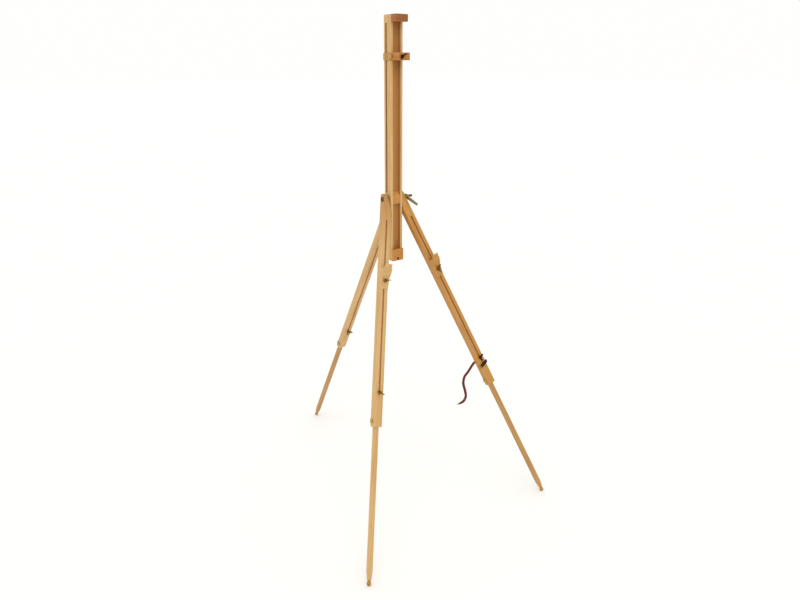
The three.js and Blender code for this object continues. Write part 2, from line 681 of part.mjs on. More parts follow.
function rearPivotNut() {
  const centre = [0, REAR.y, -REAR.drop];
  const dome = [
    [0, REAR_CHEEK_OUT], [5.4, REAR_CHEEK_OUT], [5.4, REAR_CHEEK_OUT + 4.5],
    [4.4, REAR_CHEEK_OUT + 7.6], [2.4, REAR_CHEEK_OUT + 9.4], [0, REAR_CHEEK_OUT + 10],
  ];
  const bore = peg('x', 3 + GAP, 0, REAR_CHEEK_OUT + 7.8, centre);
  return cut(turn(dome, 'x', centre, 6), bore);
}

// ---- Leather strap ------------------------------------------------------------------------------

// The strap's middle line, in the right leg's frame: from the buckle across the leg's front,
// round its right side and back, and off to the left, where its tail hangs free.
const STRAP_LINE = (() => {
  const x = LEG.width / 2;
  const y = LEG.depth / 2;
  const off = STRAP.thick / 2 + 0.7;
  const k = off * Math.SQRT1_2;
  const z = -STRAP.at;
  const front = new THREE.Vector3(0, -1, 0);
  const right = new THREE.Vector3(1, 0, 0);
  const back = new THREE.Vector3(0, 1, 0);
  const knot = (px, py, pz, face) => ({ at: new THREE.Vector3(px, py, pz), face });
  return [
    knot(STRAP.from, -y - off, z - 2, front), knot(0, -y - off, z, front),
    knot(x, -y - off, z + 2, front), knot(x + k, -y - k, z + 2.5, right.clone().add(front)),
    knot(x + off, -y, z + 3, right), knot(x + off, y, z + 6, right),
    knot(x + k, y + k, z + 6.5, right.clone().add(back)), knot(x, y + off, z + 7, back),
    knot(0, y + off, z + 10, back), knot(-x, y + off + 0.6, z + 15, back),
  ];
})();

// The tail, from where it leaves the leg: to the right, to the back and up.
const TAIL_LINE = [
  [-14, 3, -17], [-27, 3, -31], [-40, 4, -43], [-43, 6, -60], [-43, 6, -72], [-37, 6, -92],
  [-31, 6, -111], [-29, 6, -124], [-36, 4, -136], [-47, 3, -141], [-59, 2, -142], [-74, 0, -140],
];

function strapLine(legMatrix) {
  const toLeg = legMatrix.clone().invert();
  const leave = STRAP_LINE.at(-1).at.clone().applyMatrix4(legMatrix);
  const tail = TAIL_LINE.map((p) => new THREE.Vector3(...p).add(leave).applyMatrix4(toLeg));
  return [...STRAP_LINE.map((knot) => knot.at), ...tail];
}

// A flat band along the line. It lies flat on the leg, and its tail turns as little as it can.
function strap(legMatrix) {
  const line = strapLine(legMatrix);
  const curve = new THREE.CatmullRomCurve3(line, false, 'centripetal');
  const steps = (line.length - 1) * 5;
  const out = new THREE.Vector3();
  const vertices = [];
  for (let i = 0; i <= steps; i += 1) {
    const knot = Math.floor(i / 5);
    if (knot + 1 < STRAP_LINE.length) {
      out.lerpVectors(STRAP_LINE[knot].face, STRAP_LINE[knot + 1].face, (i % 5) / 5);
    }
    const at = curve.getPoint(i / steps);
    const ahead = curve.getTangent(i / steps);
    out.addScaledVector(ahead, -out.dot(ahead)).normalize();
    const across = new THREE.Vector3().crossVectors(out, ahead);
    for (const [a, o] of [[-1, -1], [1, -1], [1, 1], [-1, 1]]) {
      const corner = at.clone()
        .addScaledVector(across, (a * STRAP.width) / 2)
        .addScaledVector(out, (o * STRAP.thick) / 2);
      vertices.push(corner.x, corner.y, corner.z);
    }
  }
  const faces = [0, 1, 2, 0, 2, 3];
  for (let i = 0; i < steps; i += 1) {
    for (let k = 0; k < 4; k += 1) {
      const a = 4 * i + k;
      const b = 4 * i + ((k + 1) % 4);
      faces.push(a, a + 4, b, b, a + 4, b + 4);
    }
  }
  const last = 4 * steps;
  faces.push(last, last + 2, last + 1, last, last + 3, last + 2);
  const geometry = new THREE.BufferGeometry();
  geometry.setAttribute('position', new THREE.Float32BufferAttribute(vertices, 3));
  geometry.setIndex(faces);
  const hole = peg('x', STRAP_SCREW.radius + 0.5, 5, 25, [0, 0, STRAP_SCREW.z]);
  return cut(solid(geometry), hole);
}

// A brass screw through the strap into the right side of the leg.
const STRAP_SCREW = { radius: 1.6, head: 3.6, length: 9, z: -STRAP.at + 4.5 };
const STRAP_OUT = LEG.width / 2 + 0.7 + STRAP.thick;

function strapScrew() {
  const seat = STRAP_OUT + 0.8;
  const { radius, head, length, z } = STRAP_SCREW;
  const shape = bolt('x', head, 1.8, radius, seat, seat - length, [0, 0, z]);
  return cut(shape, block(seat + 1, seat + 3, -5, 5, z - 0.5, z + 0.5));
}

// The buckle: a brass frame at the strap's front end, and its prong.
function strapBuckle() {
  const y = -LEG.depth / 2 - STRAP.thick / 2 - 0.7;
  const right = STRAP.from - 2;
  const left = right - 11;
  const low = -STRAP.at - 2 - STRAP.width / 2 - 2;
  const high = low + STRAP.width + 4;
  const t = 1.1;
  return join(
    cut(
      block(left, right, y - t, y + t, low, high),
      block(left + 2, right - 2, y - t - 1, y + t + 1, low + 2, high - 2),
    ),
    block(left, right, y - t - 0.9, y - t + 0.4, (low + high) / 2 - 0.9, (low + high) / 2 + 0.9),
  );
}

// ---- Assembly ------------------------------------------------------------------------------------

const { height: HEAD_HEIGHT, frontFootY } = headHeight();
const { lean: REAR_LEAN, footY: rearFootY } = rearLean(HEAD_HEIGHT);
// The origin is on the ground under the middle of the easel's footprint.
const easel = frame(null, 'tripod_field_easel', [0, -(frontFootY + rearFootY) / 2, 0]);
const mast = frame(easel, 'mast_frame', [0, 0, HEAD_HEIGHT]);

add(mast, 'mast', mastPost(), 'beech');
add(mast, 'top_block', topBlock(), 'amberBeech');
add(mast, 'end_block', endBlock(), 'amberBeech');
add(mast, 'end_block_screw', endBlockScrew(), 'darkBrass');
add(mast, 'head_block', headBlock(), 'amberBeech');
add(mast, 'rear_bracket', rearBracket(), 'brass');
add(mast, 'rear_bracket_screw_upper', rearScrew(REAR_SCREWS[0]), 'brass');
add(mast, 'rear_bracket_screw_lower', rearScrew(REAR_SCREWS[1]), 'brass');
add(mast, 'rear_pivot_bolt', rearPivotBolt(), 'darkBrass');
add(mast, 'rear_pivot_nut', rearPivotNut(), 'darkBrass');

add(mast, 'clip_jaw', clipJaw(), 'amberBeech');
add(mast, 'clip_cheek_left', clipCheek(-1), 'beech');
add(mast, 'clip_cheek_right', clipCheek(1), 'beech');
add(mast, 'clip_cross_bolt', clipCrossBolt(), 'darkBrass');
add(mast, 'clip_cross_nut', clipCrossNut(), 'darkBrass');
add(mast, 'clip_thumb_screw', clipThumbScrew(), 'darkBrass');

add(mast, 'head_bolt', headBolt(), 'darkBrass');
add(mast, 'head_washer_left', headWasher(-1), 'darkBrass');
add(mast, 'head_washer_right', headWasher(1), 'darkBrass');
add(mast, 'clamp_lever', clampLever(), 'zinc');

// One inner leg with its foot and its clamp, raised by `raise` on a leg of that much less length.
function addRod(leg, name, raise, roll) {
  add(leg, `${name}_rod`, rod(raise), 'beech');
  add(leg, `${name}_ferrule`, ferrule(raise), 'brass');
  add(leg, `${name}_rod_bolt`, rodBolt(raise), 'darkBrass');
  add(leg, `${name}_rod_washer`, rodWasher(raise), 'brass');
  add(leg, `${name}_rod_wing_nut`, rodNut(raise, roll), 'darkBrass');
}

for (const [side, name, nutRoll, ledgeRoll] of [[-1, 'left', -35, 8], [1, 'right', 52, 64]]) {
  const { saddle, hinge, leg } = frontLegFrames(mast, side);
  saddle.name = `${name}_saddle_frame`;
  hinge.name = `${name}_hinge_frame`;
  leg.name = `${name}_leg_frame`;
  add(saddle, `${name}_saddle_plate`, saddlePlate(side), 'zinc');
  add(leg, `${name}_hinge_pin`, hingePin(side), 'brass');
  add(leg, `${name}_leg_stave`, frontStave(side), 'beech');
  add(leg, `${name}_retainer`, retainer(RETAINER.at), 'brass');
  add(leg, `${name}_retainer_screw`, retainerScrew(RETAINER.at), 'brass');
  addRod(leg, name, 0, nutRoll);
  add(leg, `${name}_ledge_block`, ledgeBlock(), 'beech');
  add(leg, `${name}_ledge_bolt`, ledgeBolt(), 'darkBrass');
  add(leg, `${name}_ledge_washer`, ledgeWasher(), 'brass');
  add(leg, `${name}_ledge_wing_nut`, ledgeNut(ledgeRoll), 'darkBrass');
}

const rear = frame(mast, 'rear_leg_frame', [0, REAR.y, -REAR.drop], [REAR_LEAN, 0]);
add(rear, 'rear_leg_stave', rearStave(), 'beech');
add(rear, 'rear_retainer', retainer(RETAINER.at - REAR.staveShorter), 'brass');
add(rear, 'rear_retainer_screw', retainerScrew(RETAINER.at - REAR.staveShorter), 'brass');
addRod(rear, 'rear', REAR.shorter, 20);

easel.updateMatrixWorld(true);
const rightLeg = easel.getObjectByName('right_leg_frame');
add(rightLeg, 'leather_strap', strap(rightLeg.matrixWorld), 'leather');
add(rightLeg, 'strap_buckle', strapBuckle(), 'brass');
add(rightLeg, 'strap_screw', strapScrew(), 'brass');

export default easel;
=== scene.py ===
"""Looks of a tripod field easel: three telescopic beech legs on a slotted beech mast.

Everything is in metres, +Z up, with the easel's feet on z = 0 and its front towards -Y.
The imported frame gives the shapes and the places. This script rounds every arris, dresses the
pieces in their real materials, and makes the leather strap and the studio.
"""

import json
import logging
import math
from dataclasses import dataclass, field, replace
from enum import Enum

import bpy
from mathutils import Matrix, Vector


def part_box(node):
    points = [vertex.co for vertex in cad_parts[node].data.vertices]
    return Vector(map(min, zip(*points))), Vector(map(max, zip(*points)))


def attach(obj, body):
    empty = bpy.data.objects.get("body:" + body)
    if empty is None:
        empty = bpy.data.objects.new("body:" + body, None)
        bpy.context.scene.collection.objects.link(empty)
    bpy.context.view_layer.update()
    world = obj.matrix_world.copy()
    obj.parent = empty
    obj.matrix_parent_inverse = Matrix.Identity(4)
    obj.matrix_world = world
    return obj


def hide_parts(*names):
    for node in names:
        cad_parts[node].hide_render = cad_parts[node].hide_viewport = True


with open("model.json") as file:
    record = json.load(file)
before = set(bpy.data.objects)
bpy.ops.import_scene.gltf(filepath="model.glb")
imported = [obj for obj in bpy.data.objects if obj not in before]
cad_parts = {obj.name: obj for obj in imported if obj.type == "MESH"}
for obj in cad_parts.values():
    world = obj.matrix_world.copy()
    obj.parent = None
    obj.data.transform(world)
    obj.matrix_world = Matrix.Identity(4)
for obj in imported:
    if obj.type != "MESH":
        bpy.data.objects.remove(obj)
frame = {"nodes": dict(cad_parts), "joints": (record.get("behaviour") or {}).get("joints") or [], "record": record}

LOG = logging.getLogger("field_easel")
MM = 0.001
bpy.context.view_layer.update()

Colour = tuple[float, float, float, float]

# Points nearer than this are one corner, and faces that bend less than this are one face.
WELD_MM, FLAT_DEG = 0.002, 0.4
# Faces that bend less than this draw one curve, and past it they meet at an edge.
SHARP_DEG = 32.0
# A cut wall lies deeper than this under its board's sides, faces and ends.
UNDER_MM = (1.2, 1.2, 20.0)
# Beyond the end of every board, for wood whose tone stays even.
EVEN_TONE = (900.0, 1000.0)


def linear(code: str) -> Colour:
    """Turns an sRGB colour into the linear one that a shader wants.

    Args:
        code: The colour as six hex digits, with or without a leading hash.

    Returns:
        Red, green, blue and alpha, linear.
    """
    code = code.lstrip("#")
    parts = [int(code[i : i + 2], 16) / 255 for i in (0, 2, 4)]
    out = [p / 12.92 if p <= 0.04045 else ((p + 0.055) / 1.055) ** 2.4 for p in parts]
    return (out[0], out[1], out[2], 1.0)


def add_node(
    tree: bpy.types.NodeTree,
    kind: str,
    inputs: dict | None = None,
    stops: tuple[tuple[float, Colour], ...] = (),
    **settings: object,
) -> bpy.types.Node:
    """Adds one node, sets it up and links it.

    Args:
        tree: The material's or world's nodes.
        kind: The node's type, without "ShaderNode" in front.
        inputs: For each input, by name or number, a value or the socket that feeds it.
        stops: A colour ramp's places, from 0 to 1, and the linear colour at each.
        **settings: The node's own settings.

    Returns:
        The new node.
    """
    node = tree.nodes.new("ShaderNode" + kind)
    for name, value in settings.items():
        setattr(node, name, value)
    for key, value in (inputs or {}).items():
        if isinstance(value, bpy.types.NodeSocket):
            tree.links.new(value, node.inputs[key])
        else:
            node.inputs[key].default_value = value
    if stops:
        points = node.color_ramp.elements
        while len(points) < len(stops):
            points.new(0.5)
        for point, (place, colour) in zip(points, stops):
            point.position = place
            point.color = colour
    return node


def new_material(name: str) -> tuple[bpy.types.Material, bpy.types.Node]:
    """Makes an empty material.

    Args:
        name: What the real material is called.

    Returns:
        The material and its Principled shader.
    """
    material = bpy.data.materials.new(name)
    material.use_nodes = True
    material.node_tree.nodes.clear()
    shader = add_node(material.node_tree, "BsdfPrincipled")
    add_node(material.node_tree, "OutputMaterial", {"Surface": shader.outputs["BSDF"]})
    return material, shader


def set_sockets(shader: bpy.types.Node, values: dict[str, object]) -> None:
    """Sets what is the same all over a surface on the shader's own sockets.

    Args:
        shader: The material's Principled shader.
        values: The value of each socket, by name.
    """
    for name, value in values.items():
        shader.inputs[name].default_value = value


@dataclass(frozen=True)
class Glaze:
    """A thin layer of colour that shows more or less as a pattern rises.

    Attributes:
        pattern: The value that it follows.
        start: Where in the pattern it starts to change.
        stop: Where it stops changing.
        before: How much of it shows up to the start.
        after: How much of it shows past the stop.
        tint: Its colour.
    """

    pattern: bpy.types.NodeSocket
    start: float
    stop: float
    before: float
    after: float
    tint: str

    def over(
        self, tree: bpy.types.NodeTree, under: bpy.types.NodeSocket | Colour
    ) -> bpy.types.NodeSocket:
        """Lays it over a colour.

        Args:
            tree: The material's nodes.
            under: The colour below it, or the socket that gives one.

        Returns:
            The colour of the two together.
        """
        follow = {"Value": self.pattern, "From Min": self.start, "From Max": self.stop}
        follow |= {"To Min": self.before, "To Max": self.after}
        share = add_node(tree, "MapRange", follow).outputs["Result"]
        layers = {"Fac": share, "Color1": under, "Color2": linear(self.tint)}
        return add_node(tree, "MixRGB", layers).outputs["Color"]


class Skin(Enum):
    """The faces of a sawn piece of wood, each with a finish of its own."""

    FACE = 0
    ARRIS = 1
    END_GRAIN = 2
    GROOVE = 3
    SLOT = 4


@dataclass(frozen=True)
class Grain:
    """Which way a piece of wood was sawn.

    Attributes:
        length: The way its fibres run.
        face: The way its show face looks.
        heart: Where the tree's middle lies from the piece's middle, across and in, in mm.
        seed: Moves the figure along, so that no two pieces look alike.
        warm_mm: Where along the piece, up from its middle, its tone starts and ends to deepen.
    """

    length: Vector
    face: Vector
    heart: tuple[float, float] = (35.0, 60.0)
    seed: float = 0.0
    warm_mm: tuple[float, float] = EVEN_TONE

    def turn(self) -> Matrix:
        """Works out how the board lies.

        Returns:
            Rows that turn a point so that the fibres run along Z and the face looks to -Y.
        """
        along = self.length.normalized()
        out = (self.face - along * self.face.dot(along)).normalized()
        return Matrix((along.cross(out), -out, along))


@dataclass(frozen=True)
class Wood:
    """Planed wood under a thin coat of oil.

    Attributes:
        name: The finish's name.
        early: Colour of the wide early wood.
        late: Colour of the narrow late wood.
        deep: Colour of the darker patches that the oil brings out.
        shade_and_dirt: Colour of the painted shade in grooves, slots and corners, with old oil and dust.
        arris: Colour of the handled edges.
        end: Colour of the end grain, which drinks more oil.
        groove: Colour of the groove floor, darker than the faces: partly unsanded wood, partly painted shade in
            the groove.
        slot: Colour of the walls deep in a slot, darker and more orange than the faces: painted shade for the warm
            dark inside a slot.
        ring_mm: Width of a growth ring.
        roughness: How matt it is.
        coat: How much the oil stands on top.
    """

    name: str
    early: str
    late: str
    deep: str
    shade_and_dirt: str
    arris: str
    end: str
    groove: str
    slot: str = "#BC6A20"
    ring_mm: float = 4.5
    roughness: float = 0.42
    coat: float = 0.06

    def skin(self, part: Skin) -> "Wood":
        """Takes the wood as one of its skins shows it.

        Args:
            part: Which of its skins.

        Returns:
            The same wood with that skin's colours and sheen.
        """
        if part is Skin.ARRIS:
            return replace(self, early=self.arris, late=self.early, roughness=0.5)
        if part is Skin.END_GRAIN:
            return replace(self, early=self.end, late=self.deep, roughness=0.6, coat=0.0)
        if part is Skin.SLOT:
            # A slot's walls carry their painted shade in their own colour, so no more is laid over them.
            return replace(self, early=self.slot, late=self.slot, shade_and_dirt=self.slot, coat=0.0)
        if part is Skin.GROOVE:
            return replace(self, early=self.groove, late=self.deep, roughness=0.6, coat=0.0)
        return self

    def material(self, piece: str, part: Skin, grain: Grain, middle: Vector) -> bpy.types.Material:
        """Makes the wood for one skin of one piece.

        Beech has a straight, close grain with faint rings, short brown ray flecks 1 to 3 mm
        long, and slow changes of tone along the board.

        Args:
            piece: The piece's name.
            part: Which of its skins.
            grain: Which way it was sawn.
            middle: A point in the middle of the piece.

        Returns:
            The material.
        """
        look = self.skin(part)
        material, shader = new_material(f"{self.name}_{part.name.lower()}_{piece}")
        tree = material.node_tree
        turn = grain.turn()
        board = add_node(
            tree,
            "Mapping",
            {
                "Vector": add_node(tree, "TexCoord").outputs["Object"],
                "Rotation": turn.to_euler("XYZ"),
                "Location": Vector((0, 0, grain.seed)) - turn @ middle,
            },
        ).outputs["Vector"]
        # Fibres hardly change along the board, so every pattern is drawn out that way.
        drawn_out = {"Vector": board, "Scale": (1, 1, 0.055)}
        fibre = add_node(tree, "Mapping", drawn_out).outputs["Vector"]
        # The rings wander by up to 4.5 mm either way.
        waver = add_node(
            tree, "TexNoise", {"Vector": fibre, "Scale": 26.0, "Detail": 2.0}
        ).outputs["Color"]
        centred = add_node(tree, "VectorMath", {0: waver, 1: (0.5, 0.5, 0.5)}, operation="SUBTRACT")
        pushed = add_node(
            tree,
            "VectorMath",
            {0: centred.outputs[0], 1: (9 * MM, 9 * MM, 0.0), 2: board},
            operation="MULTIPLY_ADD",
        ).outputs[0]
        # The tree's middle runs a degree off the board's, which opens the rings into arches.
        log = add_node(
            tree,
            "Mapping",
            {
                "Vector": pushed,
                "Location": (grain.heart[0] * MM, grain.heart[1] * MM, 0),
                "Rotation": (math.radians(1.3), math.radians(-0.9), 0),
            },
        ).outputs["Vector"]
        rings = add_node(
            tree,
            "TexWave",
            {
                "Vector": log,
                "Scale": 0.1 * math.pi / (self.ring_mm * MM),
                "Distortion": 0.6,
                "Detail": 2.0,
                "Detail Scale": 2.0,
            },
            wave_type="RINGS",
            rings_direction="Z",
            wave_profile="SAW",
        ).outputs["Fac"]
        early, late = linear(look.early), linear(look.late)
        year = ((0.0, late), (0.12, early), (0.62, early), (1.0, late))
        wood = add_node(tree, "ValToRGB", {"Fac": rings}, year).outputs["Color"]
        tone = add_node(
            tree, "TexNoise", {"Vector": fibre, "Scale": 85.0, "Detail": 3.0, "Roughness": 0.6}
        ).outputs["Fac"]
        up = add_node(tree, "SeparateXYZ", {"Vector": board}).outputs["Z"]
        warm, warmed = (place * MM + grain.seed for place in grain.warm_mm)
        # Fibre lines are a tenth of a millimetre, and drawn three times as wide so they show.
        lines = add_node(
            tree, "TexNoise", {"Vector": fibre, "Scale": 1600.0, "Detail": 3.0, "Roughness": 0.7}
        ).outputs["Fac"]
        short = add_node(tree, "Mapping", {"Vector": board, "Scale": (1, 1, 0.16)})
        spots = add_node(
            tree, "TexVoronoi", {"Vector": short.outputs["Vector"], "Scale": 620.0}
        ).outputs["Distance"]
        open_air = add_node(
            tree, "AmbientOcclusion", {"Distance": 11 * MM}, samples=6, only_local=True
        ).outputs["AO"]
        for glaze in (
            # Slow patches of tone, about 12 mm across and 200 mm long.
            Glaze(tone, 0.45, 0.75, 0.0, 0.55, look.deep),
            # Some boards deepen in tone towards one end, the left front leg's stave towards its top.
            Glaze(up, warm, warmed, 0.0, 0.75, look.deep),
            # The darker fibres.
            Glaze(lines, 0.5, 0.8, 0.0, 0.4, look.late),
            # Ray flecks, short and brown, half a millimetre wide and 3 mm long.
            Glaze(spots, 0.1, 0.28, 0.5, 0.0, look.deep),
            # Painted shade, with old oil and dust, in the grooves, slots and corners.
            Glaze(open_air, 0.1, 0.8, 0.55, 0.0, look.shade_and_dirt),
        ):
            wood = glaze.over(tree, wood)
        tree.links.new(wood, shader.inputs["Base Color"])
        rough = add_node(
            tree,
            "MapRange",
            {
                "Value": lines,
                "From Min": 0.3,
                "From Max": 0.7,
                "To Min": look.roughness - 0.07,
                "To Max": look.roughness + 0.1,
            },
        ).outputs["Result"]
        tree.links.new(rough, shader.inputs["Roughness"])
        bump = add_node(
            tree, "Bump", {"Height": lines, "Distance": 0.12 * MM, "Strength": 0.35}
        ).outputs["Normal"]
        tree.links.new(bump, shader.inputs["Normal"])
        set_sockets(shader, {"IOR": 1.5, "Coat Weight": look.coat, "Coat Roughness": 0.35})
        return material


@dataclass(frozen=True)
class Metal:
    """A turned, cast or pressed metal.

    Attributes:
        name: The finish's name.
        clean: Colour where it is rubbed bright.
        dull: Colour where it has tarnished.
        shade_and_dirt: Colour of the painted shade and grime in its corners.
        roughness: How matt it is.
        grit_mm: Size of the marks that made its surface.
        cloud_mm: Size of its patches of tarnish.
        tarnish: How much of it is tarnished, from 0 to 1.
    """

    name: str
    clean: str
    dull: str
    shade_and_dirt: str
    roughness: float = 0.35
    grit_mm: float = 0.5
    cloud_mm: float = 4.0
    tarnish: float = 0.5

    def material(self) -> bpy.types.Material:
        """Makes the metal, which every piece of it shares.

        Brass that is handled stays bright where it is rubbed and goes brown elsewhere. Cast
        pieces keep a fine grain from the mould.

        Returns:
            The material.
        """
        material, shader = new_material(self.name)
        tree = material.node_tree
        place = add_node(tree, "TexCoord").outputs["Object"]
        cloud = add_node(
            tree,
            "TexNoise",
            {"Vector": place, "Scale": 1 / (self.cloud_mm * MM), "Detail": 4.0, "Roughness": 0.65},
        ).outputs["Fac"]
        open_air = add_node(
            tree, "AmbientOcclusion", {"Distance": 3 * MM}, samples=6, only_local=True
        ).outputs["AO"]
        tarnish = Glaze(cloud, 0.75 - 0.5 * self.tarnish, 0.8, 0.0, 1.0, self.dull)
        # Painted shade, with grime, darkens the corners and hollows.
        corner_shade_and_grime = Glaze(open_air, 0.2, 0.9, 0.7, 0.0, self.shade_and_dirt)
        colour = corner_shade_and_grime.over(tree, tarnish.over(tree, linear(self.clean)))
        tree.links.new(colour, shader.inputs["Base Color"])
        grit = add_node(
            tree, "TexNoise", {"Vector": place, "Scale": 1 / (self.grit_mm * MM), "Detail": 2.0}
        ).outputs["Fac"]
        rough = add_node(
            tree,
            "MapRange",
            {
                "Value": cloud,
                "From Min": 0.3,
                "From Max": 0.7,
                "To Min": self.roughness - 0.08,
                "To Max": self.roughness + 0.14,
            },
        ).outputs["Result"]
        tree.links.new(rough, shader.inputs["Roughness"])
        bump = add_node(
            tree, "Bump", {"Height": grit, "Distance": 0.05 * MM, "Strength": 0.5}
        ).outputs["Normal"]
        tree.links.new(bump, shader.inputs["Normal"])
        set_sockets(shader, {"Metallic": 1.0})
        return material


class Hide(Enum):
    """The sides of a cut strip of leather."""

    GRAIN = 0
    FLESH = 1
    EDGE = 2
    TIP = 3


@dataclass(frozen=True)
class Leather:
    """Bridle leather, dyed through and waxed on its grain side.

    Attributes:
        name: The finish's name.
        grain: Colour of the waxed side.
        flesh: Colour of the inner side.
        edge: Colour of the burnished cut edge.
        worn: Colour of its creases.
        tip: Colour of the undyed tip.
        pore_mm: Distance between pores.
    """

    name: str
    grain: str
    flesh: str
    edge: str
    worn: str
    tip: str
    pore_mm: float = 0.9

    def material(self, side: Hide) -> bpy.types.Material:
        """Makes one side of the leather.

        Args:
            side: Which side of the strip.

        Returns:
            The material, which follows the strip's own UV map, in metres.
        """
        colour, gloss = {
            Hide.GRAIN: (self.grain, 0.5),
            Hide.FLESH: (self.flesh, 0.8),
            Hide.EDGE: (self.edge, 0.5),
            Hide.TIP: (self.tip, 0.7),
        }[side]
        material, shader = new_material(f"{self.name}_{side.name.lower()}")
        tree = material.node_tree
        strip = add_node(tree, "TexCoord").outputs["UV"]
        pores = add_node(
            tree, "TexVoronoi", {"Vector": strip, "Scale": 1 / (self.pore_mm * MM)}
        ).outputs["Distance"]
        crease = add_node(
            tree, "TexNoise", {"Vector": strip, "Scale": 260.0, "Detail": 4.0, "Roughness": 0.6}
        ).outputs["Fac"]
        wear = Glaze(crease, 0.48, 0.78, 0.0, 0.7, self.worn)
        tree.links.new(wear.over(tree, linear(colour)), shader.inputs["Base Color"])
        height = add_node(tree, "Math", {0: pores, 1: crease}, operation="ADD").outputs["Value"]
        bump = add_node(
            tree, "Bump", {"Height": height, "Distance": 0.2 * MM, "Strength": 0.6}
        ).outputs["Normal"]
        tree.links.new(bump, shader.inputs["Normal"])
        rough = add_node(
            tree, "MapRange", {"Value": crease, "To Min": gloss - 0.12, "To Max": gloss + 0.12}
        ).outputs["Result"]
        tree.links.new(rough, shader.inputs["Roughness"])
        set_sockets(shader, {"IOR": 1.48, "Specular IOR Level": 0.22})
        return material


# Planed beech under clear oil: pale straw, faint brown arches and a soft sheen.
BEECH = Wood(
    name="oiled_beech",
    early="#D1AA6E",
    late="#BF9152",
    deep="#AF7B3A",
    shade_and_dirt="#8F5C26",
    arris="#DABA7F",
    end="#AF8347",
    groove="#B47C3F",
)
# A redder board under the same oil: warm tan, darker than the mast beside it.
RED_BEECH = replace(
    BEECH,
    name="oiled_beech_red",
    early="#BE8839",
    late="#AA7226",
    deep="#99601B",
    arris="#CA9C4E",
    groove="#A8692A",
)
# A calmer, browner board under the same oil: tan, between the other two.
PALE_RED_BEECH = replace(
    BEECH,
    name="oiled_beech_brown",
    early="#B88B47",
    late="#A57432",
    deep="#946224",
    arris="#C69F5C",
)
# Beech under a honey stain: golden brown, with edges rubbed lighter.
HONEY_BEECH = Wood(
    name="stained_beech_honey",
    early="#CB8B38",
    late="#B57226",
    deep="#9C5D1D",
    shade_and_dirt="#6A3C12",
    arris="#D99F4E",
    end="#CB8E42",
    groove="#B5752F",
    ring_mm=3.5,
)
# The same stain on a denser board: a deeper gold.
CLIP_BEECH = replace(
    HONEY_BEECH,
    name="stained_beech_gold",
    early="#B8782A",
    late="#A4631C",
    deep="#8D5014",
    arris="#C48B3C",
    end="#B87B32",
)
# Beech under an amber stain: the darkest wood, with red-brown painted shade in every corner.
AMBER_BEECH = replace(
    HONEY_BEECH,
    name="stained_beech_amber",
    early="#A7621B",
    late="#8B490F",
    deep="#743A0A",
    shade_and_dirt="#4A270A",
    arris="#B2722D",
    end="#96581C",
)
# Turned brass that hands have rubbed: a warm yellow gleam, clouded with brown.
BRASS = Metal("turned_brass", "#B98B36", "#86631F", "#4A3410", roughness=0.36, tarnish=0.5)
# Lacquered brass: pale and satin, so small pins sit quietly in the wood.
PALE_BRASS = Metal("lacquered_brass", "#C49F5F", "#A98344", "#7A5A28", roughness=0.45, tarnish=0.4)
# Cast brass left to tarnish: olive brown, with a few bright rubbed places.
OLD_BRASS = Metal(
    "cast_brass_tarnished", "#94753A", "#57441E", "#241B0C", roughness=0.42, tarnish=0.6
)
# Nearly black brass with a faint brown gloss: partly a blackened finish, partly painted shade for the dark of the
# right wing nut, the clip's thumb screw and the end block's screw.
SHADE_BLACK_BRASS = Metal(
    "blackened_brass", "#3E3019", "#1A140C", "#0B0805", roughness=0.5, tarnish=0.75
)
# Brass browned by heat: chocolate brown with a soft sheen.
BROWNED_BRASS = Metal("browned_brass", "#7A5030", "#4C2F1A", "#22140A", roughness=0.45, tarnish=0.6)
# Cast zinc: dull warm grey with the fine grain of its mould.
ZINC = Metal(
    "cast_zinc", "#A3A08C", "#7C7966", "#3A382E", roughness=0.42, grit_mm=0.35, tarnish=0.45
)
# Dyed and waxed bridle leather: nearly black outside, red-brown inside.
BRIDLE = Leather("bridle_leather", "#160C09", "#66241A", "#33140E", "#7C3424", "#B9B2A6")

BODY_OF = {
    node: body
    for body, nodes in frame["record"]["behaviour"]["bodies"].items()
    for node in nodes
}
JOINT_AXIS = {joint["name"]: Vector(joint["axis"]) for joint in frame["joints"]}
PAINTER = Vector((0, -1, 0))
UP = Vector((0, 0, 1))


def pick(piece: bpy.types.Object) -> None:
    """Selects one piece and nothing else, and makes it active."""
    bpy.ops.object.select_all(action="DESELECT")
    piece.select_set(True)
    bpy.context.view_layer.objects.active = piece


def drawn_copy(node: str, name: str) -> bpy.types.Object:
    """Copies a node of the frame as whole faces, ready to be worked.

    Args:
        node: The node's name.
        name: The new piece's name.

    Returns:
        The copy, with no material.
    """
    mesh = frame["nodes"][node].data.copy()
    mesh.name = name
    mesh.materials.clear()
    piece = bpy.data.objects.new(name, mesh)
    bpy.context.scene.collection.objects.link(piece)
    pick(piece)
    bpy.ops.object.mode_set(mode="EDIT")
    bpy.ops.mesh.select_all(action="SELECT")
    bpy.ops.mesh.remove_doubles(threshold=WELD_MM * MM)
    bpy.ops.mesh.dissolve_limited(angle_limit=math.radians(FLAT_DEG))
    bpy.ops.mesh.customdata_custom_splitnormals_clear()
    bpy.ops.object.mode_set(mode="OBJECT")
    return piece


